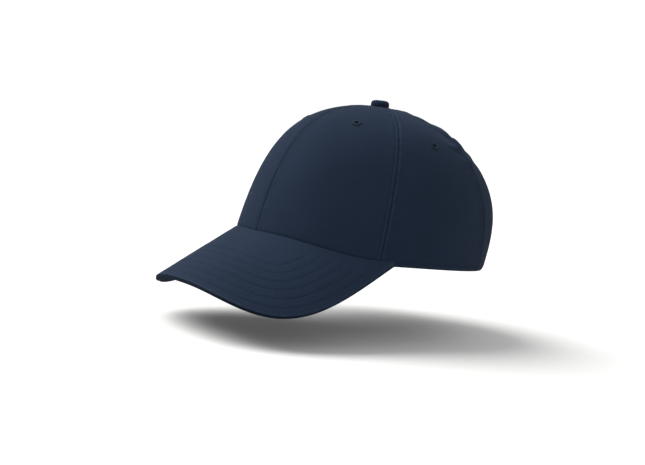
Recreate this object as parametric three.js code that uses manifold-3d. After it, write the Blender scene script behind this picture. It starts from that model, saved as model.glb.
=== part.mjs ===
// A six-panel baseball cap with a curved sandwich visor and a buckled strap across the back opening.
// Millimetres and degrees. +Z is up, the cap faces -Y and the wearer's left is +X. The origin is the
// middle of the head opening, level with the lowest point of the back edge.
// Angles round the crown are counted from the centre front, positive towards the wearer's left.
import * as THREE from "three";
import { mergeVertices } from "three/addons/utils/BufferGeometryUtils.js";
import Module from "manifold-3d";

const wasm = await Module();
wasm.setup();
const degree = Math.PI / 180;

// ---- Crown, over its outer surface ----
const halfWidth = 90;
const halfLength = 105;
const crownHeight = 123;
const buttonSetback = 3; // the button stands this far behind the middle
// The wall's run from its lower edge to the button, at the front, side and back: its lean inwards at
// the lower edge, the share of its height that it holds that lean for, the share of its reach that
// it stays level for at the top, and its fall away from the button.
const wallLean = { front: 11, side: 4, back: -23 };
const wallHold = { front: 0.58, side: 0.65, back: 0.68 };
const topHold = { front: 0.7, side: 0.65, back: 0.56 };
const topFall = { front: -2, side: 0, back: 2 };
// Seams between panels: their angle at the lower edge and at the button.
const centreFront = { base: 0, top: 0 };
const frontSide = { base: 61, top: 75 };
const backSide = { base: 120, top: 120 };
const centreBack = { base: 180, top: 180 };

// ---- Cloth and the layers inside the crown ----
const gap = 0.3; // between neighbouring pieces
const shellCloth = 0.8;
const stiffenerThickness = 0.5;
const stiffenerRise = 118; // how far the stiffener runs up the front panels
const tapeThickness = 0.4;
const tapeWidth = 10;
const tapeEase = 0.5; // a flat tape's edges come this much nearer the curved wall
const stiffenerDepth = shellCloth + gap;
const tapeDepth = stiffenerDepth + stiffenerThickness + gap + tapeEase;
const tapeStep = tapeThickness + gap + 0.15;

// ---- Back opening, its binding and the strap across it ----
const openingHalfWidth = 31;
const openingHeight = 44;
const bindingCloth = 0.4;
const bindingReach = 4.5; // onto the panels
const bindingEase = 0.8; // between the panels and the binding's inner leg
const strapWidth = 19;
const strapBottom = 3; // height of the strap's lower edge along the wall
const strapThickness = 1;
const shortStrapThickness = 0.8;
const strapHidden = 24; // the long strap's sewn end behind the right panel
const shortStrapHidden = 14;
const tailPastBuckle = 36;
const strapEase = 0.6; // between the binding and the short strap
const strapAngle = 26; // the strap follows the wall this far round from the back
const shortStrapDepth = shellCloth + bindingEase + bindingCloth + strapEase;
const strapDepth = shortStrapDepth + shortStrapThickness + gap + strapThickness / 2;

// ---- Sweatband and label ----
const bandHeight = 33;
const bandCloth = 0.3;
const bandPadding = 0.6;
const bandGap = 0.45; // between the cover and its padding
const bandLift = 1; // its lower edge above the crown's
const bandClear = 0.3; // past the seam tapes
const strapSwing = 2.2; // room behind the strap for it to slide round
const bandDepth = {
  front: tapeDepth + 3 * tapeStep + bandClear,
  side: tapeDepth + 3 * tapeStep + bandClear,
  back: strapDepth + strapThickness / 2 + strapSwing,
};
const labelWidth = 26;
const labelHeight = 20;
const labelAngle = 138;
const labelThickness = 0.4;

// ---- Visor ----
const visorAngle = 67.7; // half of the visor's hold on the crown
const visorTopAtFront = 22.3; // height of its top face at the centre front
const visorSlope = 30;
const archDrop = 56; // its top face's drop from the middle to one half width of the crown
const archPower = 2.36;
const visorHalfSpan = 84.4;
const visorReach = 126; // from its ends to its front edge, in plan
const spanPower = 0.82; // below 1 both make the outline squarer than an ellipse
const reachPower = 0.575;
const visorEndWidth = 3;
const visorCloth = 0.6;
const boardThickness = 1.8;
const boardInset = 3; // from the visor's edge to the board
const boardSpan = 0.94; // share of the visor's width that the board fills
const pipingSpan = 0.985;
const pipingProud = 0.8; // the sandwich strip past the covers
const visorGap = 0.6; // to the crown, whose wall leans over it
const layerGap = 0.4; // between the visor's layers
const visorThickness = 2 * visorCloth + boardThickness + 2 * layerGap;

// ---- Eyelets ----
const eyeletFromTop = { front: 60, side: 69, back: 69 }; // along the panel from the button
const eyeletAngle = { front: 37, side: 94, back: 149 };
const eyeletHole = 1.9;
const eyeletRadius = 4.2;
const eyeletCut = 2.9; // radius of the hole in the cloth
const eyeletLip = 0.4;
const eyeletRoom = 0.65; // behind the cloth, which curves towards the inner lip

// ---- Button ----
const buttonRadius = 7.2;
const buttonRise = 4.6;
const buttonSeat = 0.5; // above the apex, clear of the panels' slight rise in front of it
const buttonCloth = 0.4;
const buttonMetal = 0.5;
const buttonHole = 3; // radius of the hole where the panels meet
const postRadius = 1.6;
const postHeadRadius = 3.4;
const postFlareRadius = 2.7;
const washerRadius = 6.5;
const washerThickness = 0.6;
const washerRoom = 0.7; // the crown falls this much towards the washer's rim

// ---- Buckle, along the strap's arc from the centre back ----
const buckleCentre = 9;
const buckleLength = 22;
const buckleMetal = 0.8;
const pinRadius = 0.75;
const pinFromEnd = 4; // from the buckle's right-hand end
const barrelRadius = 1.9;
const leverLength = 13;
const leverThickness = 0.8;
const leverTab = 2.5;
const barWidth = 2;
const barThickness = 1;
const loopEndClear = 4; // from the short strap's folded end to the opening's edge

// ---------------------------------------------------------------------------------------------
// Closed surfaces
// ---------------------------------------------------------------------------------------------

// Moves every corner of a geometry, and turns its faces round if that left it inside out.
function reshape(geometry, place) {
  const corners = geometry.attributes.position;
  const point = new THREE.Vector3();
  for (let i = 0; i < corners.count; i += 1) {
    point.copy(place(corners.getX(i), corners.getY(i), corners.getZ(i)));
    corners.setXYZ(i, point.x, point.y, point.z);
  }
  const bare = new THREE.BufferGeometry().setAttribute("position", corners).setIndex(geometry.index);
  const merged = mergeVertices(bare, 1e-4);
  if (volumeOf(merged) < 0) {
    const order = merged.index.array;
    for (let i = 0; i < order.length; i += 3) [order[i], order[i + 1]] = [order[i + 1], order[i]];
  }
  merged.computeVertexNormals();
  return merged;
}

function volumeOf(geometry) {
  const order = geometry.index.array;
  const corner = (i) => new THREE.Vector3().fromBufferAttribute(geometry.attributes.position, order[i]);
  let volume = 0;
  for (let i = 0; i < order.length; i += 3) {
    volume += corner(i).dot(corner(i + 1).cross(corner(i + 2))) / 6;
  }
  return volume;
}

// A sheet of columns by rows cells and one cell thick. place gets three shares from 0 to 1: along
// the columns, along the rows and through the thickness.
function slab(columns, rows, place) {
  const box = new THREE.BoxGeometry(1, 1, 1, columns, rows, 1);
  return reshape(box, (x, y, z) => place(x + 0.5, y + 0.5, z + 0.5));
}

// A strip folded back on itself, run sideways in equal steps. In its section the legs lie along x at
// the heights low and high, from the fold at x = foldAt out to lowEnd and highEnd. place gets x, y and
// the share of the run.
function foldedStrip({ foldAt, low, high, lowEnd, highEnd, thickness, parts = 3, bend = 4 }, steps, place) {
  const radius = (high - low) / 2;
  const stations = [];
  for (let k = 0; k <= parts; k += 1) stations.push([THREE.MathUtils.lerp(lowEnd, foldAt, k / parts), low, 0, -1]);
  for (let k = 1; k < bend; k += 1) {
    const along = Math.sin((Math.PI * k) / bend);
    const across = Math.cos((Math.PI * k) / bend);
    stations.push([foldAt - radius * along, low + radius * (1 - across), -along, -across]);
  }
  for (let k = 0; k <= parts; k += 1) stations.push([THREE.MathUtils.lerp(foldAt, highEnd, k / parts), high, 0, 1]);
  return slab(stations.length - 1, steps, (along, share, through) => {
    const [x, y, outX, outY] = stations[Math.round(along * (stations.length - 1))];
    const out = (through - 0.5) * thickness;
    return place(x + out * outX, y + out * outY, share);
  });
}

function solidOf(geometry) {
  const bare = new THREE.BufferGeometry().setAttribute("position", geometry.attributes.position);
  const merged = mergeVertices(bare.setIndex(geometry.index), 1e-4);
  const vertProperties = merged.attributes.position.array;
  const triVerts = new Uint32Array(merged.index.array);
  return new wasm.Manifold(new wasm.Mesh({ numProp: 3, vertProperties, triVerts }));
}

function geometryOf(solid) {
  const { vertProperties, triVerts } = solid.getMesh();
  const geometry = new THREE.BufferGeometry();
  geometry.setAttribute("position", new THREE.BufferAttribute(vertProperties, 3));
  geometry.setIndex(new THREE.BufferAttribute(triVerts, 1));
  geometry.computeVertexNormals();
  return geometry;
}

const joined = (...parts) => geometryOf(parts.map(solidOf).reduce((a, b) => a.add(b)));
const cut = (part, ...tools) => geometryOf(tools.map(solidOf).reduce((a, b) => a.subtract(b), solidOf(part)));

// A round bar from one point to another.
function barBetween(start, end, radius, sides = 16) {
  const bar = new THREE.CylinderGeometry(radius, radius, start.distanceTo(end), sides);
  const along = end.clone().sub(start).normalize();
  bar.applyQuaternion(new THREE.Quaternion().setFromUnitVectors(new THREE.Vector3(0, 1, 0), along));
  return bar.translate(...start.clone().add(end).multiplyScalar(0.5).toArray());
}

// A turned piece about Z from a closed profile of [radius, height] pairs.
function turned(profile, sides = 18) {
  const points = [...profile, profile[0]].map(([radius, height]) => new THREE.Vector2(radius, height));
  return reshape(new THREE.LatheGeometry(points, sides), (x, y, z) => new THREE.Vector3(x, -z, y));
}

// ---------------------------------------------------------------------------------------------
// The crown's surface
// ---------------------------------------------------------------------------------------------

// A value that runs smoothly round the crown through its front, side and back figures.
function around({ front, side, back }, angle) {
  const mean = (front + 2 * side + back) / 4;
  const swing = (front - back) / 2;
  const pinch = (front - 2 * side + back) / 4;
  return mean + swing * Math.cos(angle * degree) + pinch * Math.cos(2 * angle * degree);
}

function visorTop(x, y) {
  const forward = -halfLength - y;
  const drop = archDrop * Math.abs(x / halfWidth) ** archPower;
  return visorTopAtFront - Math.tan(visorSlope * degree) * forward - drop;
}

// The crown's lower edge. It sits level with the visor's underside, and eases down to z = 0 at the back.
function lowerEdge(angle) {
  const plan = (a) => [halfWidth * Math.sin(a * degree), -halfLength * Math.cos(a * degree)];
  const [x, y] = plan(angle);
  const held = Math.min(Math.abs(angle), visorAngle);
  const past = THREE.MathUtils.smoothstep(Math.abs(angle), visorAngle, 180);
  return new THREE.Vector3(x, y, (visorTop(...plan(held)) - visorThickness) * (1 - past));
}

// The line up the crown's outer surface from its lower edge to the button.
const meridians = new Map();
function meridian(angle) {
  if (meridians.has(angle)) return meridians.get(angle);
  const foot = lowerEdge(angle);
  const apex = new THREE.Vector3(0, buttonSetback, crownHeight);
  const outward = new THREE.Vector3(foot.x, foot.y - buttonSetback, 0);
  const reach = outward.length();
  outward.normalize();
  const lean = around(wallLean, angle) * degree;
  const fall = around(topFall, angle) * degree;
  const wall = outward.clone().multiplyScalar(-Math.sin(lean)).setZ(Math.cos(lean));
  const top = outward.clone().multiplyScalar(Math.cos(fall)).setZ(-Math.sin(fall));
  wall.multiplyScalar(around(wallHold, angle) * (crownHeight - foot.z));
  top.multiplyScalar(around(topHold, angle) * reach);
  const line = new THREE.CubicBezierCurve3(foot, wall.add(foot), top.add(apex), apex);
  meridians.set(angle, line);
  return line;
}

// A point depth inside the crown's outer surface, rise being 0 at the lower edge and 1 at the button.
function crownPoint(angle, rise, depth = 0) {
  const point = meridian(angle).getPoint(rise);
  return depth ? point.addScaledVector(crownNormal(angle, rise), -depth) : point;
}

function crownNormal(angle, rise) {
  const step = 1e-3;
  const along = meridian(angle + step).getPoint(rise).sub(meridian(angle - step).getPoint(rise));
  const up = meridian(angle).getPoint(rise + step).sub(meridian(angle).getPoint(rise - step));
  return along.cross(up).normalize();
}

// The rise at a length up the wall from its lower edge, or down it from the button.
const riseAt = (angle, length) => meridian(angle).getUtoTmapping(0, length);
const riseBelowTop = (angle, length) => riseAt(angle, meridian(angle).getLength() - length);

const planRadius = (angle, rise) => {
  const { x, y } = meridian(angle).getPoint(rise);
  return Math.hypot(x, y - buttonSetback);
};

// The rise at which the wall is this far, in plan, from the button's axis.
function riseAtRadius(angle, radius) {
  let low = 0.5;
  let high = 1;
  for (let k = 0; k < 30; k += 1) {
    const middle = (low + high) / 2;
    if (planRadius(angle, middle) > radius) low = middle;
    else high = middle;
  }
  return low;
}

const seamAt = (seam, rise) => THREE.MathUtils.lerp(seam.base, seam.top, rise);
const angleFor = (length, angle, rise) => length / planRadius(angle, rise) / degree;

// ---------------------------------------------------------------------------------------------
// Panels, stiffeners, tapes and binding
// ---------------------------------------------------------------------------------------------

const panelColumns = 8;
const panelRows = 17;
const openingRows = 6;
const openingAngle = Math.asin(openingHalfWidth / halfWidth) / degree;
const openingTop = riseAt(180, openingHeight);

// How far round from the centre back the opening's edge lies at a rise.
const openingEdge = (rise) => openingAngle * Math.sqrt(Math.max(0, 1 - (rise / openingTop) ** 2));

// Rows of a back panel are set by the opening's curve below its top, and are even above it.
function backRise(share, top) {
  const row = Math.round(share * panelRows);
  if (row <= openingRows) return openingTop * Math.sin((90 * degree * row) / openingRows);
  return THREE.MathUtils.lerp(openingTop, top, (row - openingRows) / (panelRows - openingRows));
}

function panel(from, to, side) {
  const back = to === centreBack;
  return slab(panelColumns, panelRows, (across, up, inward) => {
    const middle = THREE.MathUtils.lerp(seamAt(from, 1), seamAt(to, 1), across);
    const top = riseAtRadius(middle, buttonHole);
    const rise = back ? backRise(up, top) : up * top;
    const first = seamAt(from, rise);
    const last = seamAt(to, rise);
    const ease = angleFor(gap / 2, (first + last) / 2, rise);
    const end = back && rise < openingTop ? 180 - Math.max(openingEdge(rise), ease) : last - ease;
    const angle = THREE.MathUtils.lerp(first + ease, end, across);
    return crownPoint(side * angle, rise, inward * shellCloth);
  });
}

function eyeletSite(place, side) {
  const angle = side * eyeletAngle[place];
  const rise = riseBelowTop(angle, eyeletFromTop[place]);
  return { at: crownPoint(angle, rise), normal: crownNormal(angle, rise) };
}

function eyeletDrill(place, side) {
  const { at, normal } = eyeletSite(place, side);
  const reach = 3 * (stiffenerDepth + stiffenerThickness);
  const inside = at.clone().addScaledVector(normal, -reach);
  return barBetween(inside, at.clone().addScaledVector(normal, reach), eyeletCut);
}

function stiffener(side) {
  const margin = 1.5; // clear of the seams on both sides
  return slab(8, 12, (across, up, inward) => {
    const rise = THREE.MathUtils.lerp(riseAt(0, bandLift), riseAt(0, stiffenerRise), up);
    const last = seamAt(frontSide, rise);
    const ease = angleFor(margin, last / 2, rise);
    const angle = THREE.MathUtils.lerp(ease, last - ease, across);
    return crownPoint(side * angle, rise, stiffenerDepth + inward * stiffenerThickness);
  });
}

// Points and normals along a seam from its foot up to a small circle round the button.
function seamLine(seam, side, foot, steps) {
  const top = riseAtRadius(seam.top, 2 * buttonHole);
  const start = riseAt(seam.base, foot);
  return Array.from({ length: steps + 1 }, (_, k) => {
    const rise = THREE.MathUtils.lerp(start, top, k / steps);
    const angle = side * seamAt(seam, rise);
    return { at: crownPoint(angle, rise), normal: crownNormal(angle, rise) };
  });
}

// A flat strip along a line on the crown, on its inside.
function strip(line, width, depth, thickness) {
  return slab(1, line.length - 1, (across, along, inward) => {
    const k = Math.round(along * (line.length - 1));
    const { at, normal } = line[k];
    const before = line[Math.max(k - 1, 0)].at;
    const after = line[Math.min(k + 1, line.length - 1)].at;
    const sideways = after.clone().sub(before).cross(normal).normalize();
    const point = at.clone().addScaledVector(sideways, (across - 0.5) * width);
    return point.addScaledVector(normal, -depth - inward * thickness);
  });
}

// A seam tape runs up one seam, over the top under the button, and down the seam opposite.
function tape(order, from, fromSide, to, toSide, toFoot = bandLift) {
  const steps = 14;
  const line = seamLine(from, fromSide, bandLift, steps);
  line.push(...seamLine(to, toSide, toFoot, steps).reverse());
  const depth = tapeDepth + order * tapeStep;
  const apex = new THREE.Vector3(0, buttonSetback, crownHeight);
  const down = new THREE.Vector3(0, 0, -3 * depth);
  const drill = barBetween(apex.clone().add(down), apex.clone().sub(down), postRadius + 1);
  return cut(strip(line, tapeWidth, depth, tapeThickness), drill);
}

function binding() {
  const ends = 2 * openingRows;
  const edge = Array.from({ length: ends + 1 }, (_, k) => {
    const turn = (180 * k) / ends;
    const rise = openingTop * Math.sin(turn * degree);
    const angle = 180 - openingAngle * Math.cos(turn * degree);
    return { at: crownPoint(angle, rise), normal: crownNormal(angle, rise) };
  });
  const half = bindingCloth / 2;
  const section = {
    foldAt: -0.2,
    low: -gap - half,
    high: shellCloth + bindingEase + half,
    lowEnd: bindingReach,
    highEnd: bindingReach,
    thickness: bindingCloth,
    parts: 1,
  };
  return foldedStrip(section, ends, (onto, depth, along) => {
    const k = Math.round(along * ends);
    const { at, normal } = edge[k];
    const before = edge[Math.max(k - 1, 0)].at;
    const after = edge[Math.min(k + 1, ends)].at;
    const outward = normal.clone().cross(after.clone().sub(before)).normalize();
    return at.clone().addScaledVector(outward, onto).addScaledVector(normal, -depth);
  });
}

// ---------------------------------------------------------------------------------------------
// Sweatband and label
// ---------------------------------------------------------------------------------------------

const bandEnd = 180 - Math.asin((openingHalfWidth + 2) / halfWidth) / degree;
const bandColumns = 40;
const bandCover = 2 * bandGap + bandPadding + bandCloth; // between the middles of the cover's two legs

function bandPoint(share, height, inward) {
  const angle = THREE.MathUtils.lerp(-bandEnd, bandEnd, share);
  const rise = riseAt(angle, bandLift + height);
  return crownPoint(angle, rise, around(bandDepth, angle) + inward);
}

function sweatbandCover() {
  const section = {
    foldAt: bandCover / 2,
    low: bandCloth / 2,
    high: bandCloth / 2 + bandCover,
    lowEnd: bandHeight,
    highEnd: bandHeight,
    thickness: bandCloth,
  };
  return foldedStrip(section, bandColumns, (below, inward, share) => bandPoint(share, bandHeight - below, inward));
}

function sweatbandPadding() {
  const margin = 3; // short of the fold at the top and the stitching below
  return slab(bandColumns, 3, (along, up, through) => {
    const height = THREE.MathUtils.lerp(margin, bandHeight - margin, up);
    return bandPoint(along, height, bandCloth + bandGap + through * bandPadding);
  });
}

function sizeLabel() {
  const half = labelWidth / 2 / halfWidth / degree;
  const clear = bandCover + bandCloth + 2 * gap;
  return slab(6, 4, (across, up, inward) => {
    const angle = THREE.MathUtils.lerp(labelAngle - half, labelAngle + half, across);
    const height = bandLift + 2 + up * labelHeight;
    return crownPoint(angle, riseAt(angle, height), around(bandDepth, angle) + clear + inward * labelThickness);
  });
}

// ---------------------------------------------------------------------------------------------
// Visor
// ---------------------------------------------------------------------------------------------

// Columns crowd towards the visor's ends, where its outline turns most.
const visorColumn = (share) => Math.sin((share - 0.5) * Math.PI);

function visorRoot(across) {
  const { x, y } = lowerEdge(across * visorAngle);
  const point = new THREE.Vector2(x, y);
  return point.setLength(point.length() + visorGap);
}

function visorEdge(across) {
  const turn = (across * Math.PI) / 2;
  const x = visorHalfSpan * Math.sign(turn) * Math.abs(Math.sin(turn)) ** spanPower;
  const ends = -halfLength * Math.cos(visorAngle * degree) - visorEndWidth;
  const y = ends - (visorReach - visorEndWidth) * Math.abs(Math.cos(turn)) ** reachPower;
  return new THREE.Vector2(x, y);
}

// A point of the visor, share being 0 at the crown and 1 at the outline. Depth counts straight down at
// the crown and square to the top face at the outline.
function visorPoint(across, share, depth) {
  const plan = visorRoot(across).lerp(visorEdge(across), share);
  const step = 0.01;
  const tiltX = (visorTop(plan.x + step, plan.y) - visorTop(plan.x - step, plan.y)) / (2 * step);
  const tiltY = Math.tan(visorSlope * degree);
  const normal = new THREE.Vector3(-tiltX, -tiltY, 1).normalize();
  const square = THREE.MathUtils.clamp(share, 0, 1);
  normal.multiplyScalar(square).setZ(normal.z + 1 - square);
  return new THREE.Vector3(plan.x, plan.y, visorTop(plan.x, plan.y)).addScaledVector(normal, -depth);
}

function visorSheet(columns, rows, span, top, thickness, rootInset, edgeInset) {
  return slab(columns, rows, (along, outward, down) => {
    const across = span * visorColumn(along);
    const width = visorRoot(across).distanceTo(visorEdge(across));
    const share = THREE.MathUtils.lerp(rootInset / width, 1 - edgeInset / width, outward);
    return visorPoint(across, share, top + down * thickness);
  });
}

const boardTop = visorCloth + layerGap;
const underTop = boardTop + boardThickness + layerGap;
const visorTopCover = () => visorSheet(32, 4, 1, 0, visorCloth, 0, 0);
const visorBoard = () => visorSheet(30, 4, boardSpan, boardTop, boardThickness, 1, boardInset);
const visorUnderCover = () => visorSheet(32, 4, 1, underTop, visorCloth, 0, 0);

// The sandwich strip between the two covers, which shows as a line round the visor's edge.
function visorPiping() {
  const inner = boardInset - 2 * gap;
  return slab(36, 1, (along, outward, down) => {
    const across = pipingSpan * visorColumn(along);
    const width = visorRoot(across).distanceTo(visorEdge(across));
    const share = 1 - THREE.MathUtils.lerp(inner, -pipingProud, outward) / width;
    return visorPoint(across, share, boardTop + down * boardThickness);
  });
}

// ---------------------------------------------------------------------------------------------
// Eyelets and button
// ---------------------------------------------------------------------------------------------

// A stitched ring through the cloth, with a lip on both sides of it. Z points out of the crown.
function eyelet(layers) {
  const neck = eyeletCut - gap;
  const outside = 0.1;
  const inside = -layers - eyeletRoom;
  return turned([
    [eyeletHole, inside - eyeletLip],
    [eyeletRadius, inside - eyeletLip],
    [eyeletRadius, inside],
    [neck, inside],
    [neck, outside],
    [eyeletRadius, outside],
    [eyeletRadius - 0.3, outside + eyeletLip],
    [eyeletHole + 0.3, outside + eyeletLip],
    [eyeletHole, outside],
  ], 14);
}

// A quarter of an oval from [radius, low] up to the axis.
function dome(radius, low, rise, steps) {
  return Array.from({ length: steps + 1 }, (_, k) => {
    const turn = (90 * degree * k) / steps;
    return [radius * Math.cos(turn), low + rise * Math.sin(turn)];
  });
}

const shellRadius = buttonRadius - buttonCloth - gap;
const shellLow = buttonCloth + gap;
const shellRise = buttonRise - 2 * gap;

function buttonCover() {
  const innerRadius = shellRadius + gap;
  const outer = dome(buttonRadius, buttonCloth + gap, buttonRise, 5);
  const inner = dome(innerRadius, buttonCloth + gap, buttonRise - buttonCloth, 5).reverse();
  const lip = shellRadius - 1.5;
  return turned([[lip, 0], [buttonRadius - 0.4, 0], ...outer, ...inner, [innerRadius, buttonCloth], [lip, buttonCloth]]);
}

function buttonShell() {
  const outer = dome(shellRadius, shellLow + 0.2, shellRise - 0.2, 4);
  const inner = dome(shellRadius - buttonMetal, shellLow + 0.2, shellRise - 0.2 - buttonMetal, 4).reverse();
  return turned([[shellRadius, shellLow], ...outer, ...inner, [shellRadius - buttonMetal, shellLow]]);
}

const stackDepth = tapeDepth + 3 * tapeStep + washerRoom; // from the outer surface to the washer

function buttonPost() {
  const head = shellLow + 0.6;
  const flare = -buttonSeat - stackDepth - washerThickness - gap;
  return turned([
    [0, head + 0.8],
    [postHeadRadius, head + 0.8],
    [postHeadRadius, head],
    [postRadius, head],
    [postRadius, flare],
    [postFlareRadius, flare - 0.3],
    [postFlareRadius, flare - 0.8],
    [0, flare - 0.8],
  ], 20);
}

function buttonWasher() {
  const top = -buttonSeat - stackDepth;
  return turned([
    [postRadius + gap, top],
    [washerRadius, top],
    [washerRadius, top - washerThickness],
    [postRadius + gap, top - washerThickness],
  ]);
}

// ---------------------------------------------------------------------------------------------
// Strap and buckle. The strap is a band of a cone about a vertical axis, so it can slide round on it.
// ---------------------------------------------------------------------------------------------

// The strap lies along the wall at the centre back and at two places strapAngle round from there.
const strapLine = (angle, length) => crownPoint(angle, riseAt(angle, length), strapDepth);
const strapFoot = strapLine(180, strapBottom);
const strapSide = strapLine(180 - strapAngle, strapBottom);
const strapSideTop = strapLine(180 - strapAngle, strapBottom + strapWidth);
const sideNormal = crownNormal(180 - strapAngle, riseAt(180 - strapAngle, strapBottom)).setZ(0).normalize();
const strapSlope = strapSideTop.clone().sub(strapSide).dot(sideNormal) / (strapSideTop.z - strapSide.z);
const strapLean = Math.atan(strapSlope);
strapSide.addScaledVector(sideNormal, strapSlope * (strapFoot.z - strapSide.z));
const backSpan = strapFoot.y - strapSide.y;
const strapRadius = (strapSide.x ** 2 + backSpan ** 2) / (2 * backSpan);
const strapAxisY = strapFoot.y - strapRadius;

// A point of the closure: round the strap's arc, up the strap, and out from the strap's middle.
function strapPoint(round, up, out) {
  const turn = round / strapRadius;
  const radius = strapRadius + up * Math.sin(strapLean) + out * Math.cos(strapLean);
  const height = strapFoot.z + up * Math.cos(strapLean) - out * Math.sin(strapLean);
  return new THREE.Vector3(radius * Math.sin(turn), strapAxisY + radius * Math.cos(turn), height);
}

// A block bent to the strap's arc. Each argument is a [from, to] pair.
function strapBlock(round, up, out, columns = 6) {
  const pick = ([from, to], share) => THREE.MathUtils.lerp(from, to, share);
  return slab(columns, 1, (a, b, c) => strapPoint(pick(round, a), pick(up, b), pick(out, c)));
}

const buckleRight = buckleCentre - buckleLength / 2;
const buckleLeft = buckleCentre + buckleLength / 2;
const strapFace = strapThickness / 2;
const shortStrapMiddle = strapFace + gap + shortStrapThickness / 2;
const barLow = shortStrapMiddle + shortStrapThickness / 2 + gap;
const barHigh = barLow + barThickness;
const barRight = buckleLeft - 1.5 - barWidth;
const pinRound = buckleRight + pinFromEnd;
const pinOut = strapFace + gap + barrelRadius;
const pinHole = pinRadius + gap;

const openingAtStrapTop = openingHalfWidth * Math.sqrt(1 - ((strapBottom + strapWidth) / openingHeight) ** 2);

function longStrap() {
  const start = -openingHalfWidth - strapHidden;
  const end = buckleLeft + tailPastBuckle;
  return strapBlock([start, end], [0, strapWidth], [-strapFace, strapFace], 28);
}

function shortStrap() {
  const section = {
    foldAt: barRight,
    low: shortStrapMiddle,
    high: barHigh + gap + shortStrapThickness / 2,
    lowEnd: openingHalfWidth + shortStrapHidden,
    highEnd: openingAtStrapTop - loopEndClear,
    thickness: shortStrapThickness,
    parts: 6,
  };
  return foldedStrip(section, 1, (round, out, share) => strapPoint(round, share * strapWidth, out));
}

// The flat frame of the lever's pin: X round the strap, Y out from it and Z up it.
const pinFrame = new THREE.Matrix4();
{
  const foot = strapPoint(pinRound, 0, pinOut);
  const up = strapPoint(pinRound, 1, pinOut).sub(foot);
  const out = strapPoint(pinRound, 0, pinOut + 1).sub(foot);
  pinFrame.makeBasis(out.clone().cross(up), out, up).setPosition(foot);
}

function buckleFrame() {
  const wallLow = [-gap - buckleMetal, -gap];
  const wallHigh = [strapWidth + gap, strapWidth + gap + buckleMetal];
  const base = -strapFace - gap - buckleMetal;
  const whole = [buckleRight, buckleLeft];
  const plate = strapBlock(whole, [wallLow[0], wallHigh[1]], [base, base + buckleMetal], 6);
  const sides = [wallLow, wallHigh].flatMap((wall) => [
    strapBlock(whole, wall, [base, strapFace + 1], 6),
    strapBlock([barRight - 1, buckleLeft], wall, [base, barHigh], 2),
    ear(wall),
  ]);
  const bar = strapBlock([barRight, barRight + barWidth], [wallLow[0], wallHigh[1]], [barLow, barHigh], 1);
  const reach = 3;
  const drill = new THREE.CylinderGeometry(pinHole, pinHole, strapWidth + 2 * reach, 16);
  drill.rotateX(Math.PI / 2).translate(0, 0, strapWidth / 2).applyMatrix4(pinFrame);
  return cut(joined(plate, ...sides, bar), drill);
}

// The upright that holds one end of the lever's pin.
function ear([low, high]) {
  const width = 2.2;
  const shape = new THREE.Shape();
  shape.moveTo(-width, -pinOut - strapFace);
  shape.lineTo(width, -pinOut - strapFace);
  shape.lineTo(width, 0);
  shape.absarc(0, 0, width, 0, Math.PI, false);
  const plate = new THREE.ExtrudeGeometry(shape, { depth: high - low, bevelEnabled: false, curveSegments: 5 });
  return reshape(plate.translate(0, 0, low).applyMatrix4(pinFrame), (x, y, z) => new THREE.Vector3(x, y, z));
}

// The lever: a barrel round the pin, a flat plate over the strap and a lifted finger tab.
function buckleLever() {
  const turnedUp = 1.2;
  const high = barrelRadius;
  const low = high - leverThickness;
  const shape = new THREE.Shape();
  shape.moveTo(0, low);
  shape.lineTo(leverLength - leverTab, low);
  shape.lineTo(leverLength, low + turnedUp);
  shape.lineTo(leverLength, high + turnedUp);
  shape.lineTo(leverLength - leverTab, high);
  shape.lineTo(0, high);
  const length = strapWidth - 2 * gap;
  const plate = new THREE.ExtrudeGeometry(shape, { depth: length, bevelEnabled: false });
  const barrel = new THREE.CylinderGeometry(barrelRadius, barrelRadius, length, 20).rotateX(Math.PI / 2);
  const bore = new THREE.CylinderGeometry(pinHole, pinHole, 2 * length, 16).rotateX(Math.PI / 2);
  const asIs = (x, y, z) => new THREE.Vector3(x, y, z);
  const body = joined(reshape(plate, asIs), reshape(barrel.translate(0, 0, length / 2), asIs));
  return cut(body, bore).translate(0, 0, gap);
}

function bucklePin() {
  const head = 0.5;
  const reach = 2 * gap + buckleMetal;
  return turned([
    [0, -reach - head],
    [pinRadius + 0.5, -reach - head],
    [pinRadius + 0.5, -reach],
    [pinRadius, -reach],
    [pinRadius, strapWidth + reach],
    [pinRadius + 0.5, strapWidth + reach],
    [pinRadius + 0.5, strapWidth + reach + head],
    [0, strapWidth + reach + head],
  ], 16);
}

// ---------------------------------------------------------------------------------------------
// The cap
// ---------------------------------------------------------------------------------------------

const cloth = (color) => new THREE.MeshStandardMaterial({ color, roughness: 0.92, metalness: 0 });
const metal = (color) => new THREE.MeshStandardMaterial({ color, roughness: 0.38, metalness: 1 });
const materials = {
  shell: cloth(0x1d2738),
  lining: cloth(0x222c3e),
  thread: cloth(0x1a2232),
  stiffener: cloth(0xd8d6cf),
  foam: cloth(0xe4e0d6),
  label: cloth(0xe9e7e1),
  board: new THREE.MeshStandardMaterial({ color: 0xf0efe9, roughness: 0.6, metalness: 0 }),
  buckle: metal(0x8d8a80),
  button: metal(0xb9b9bb),
};

function piece(name, geometry, material, parent) {
  const mesh = new THREE.Mesh(geometry, material);
  mesh.name = name;
  parent.add(mesh);
  return mesh;
}

const cap = new THREE.Group();
const sides = [["left", 1], ["right", -1]];

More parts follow.
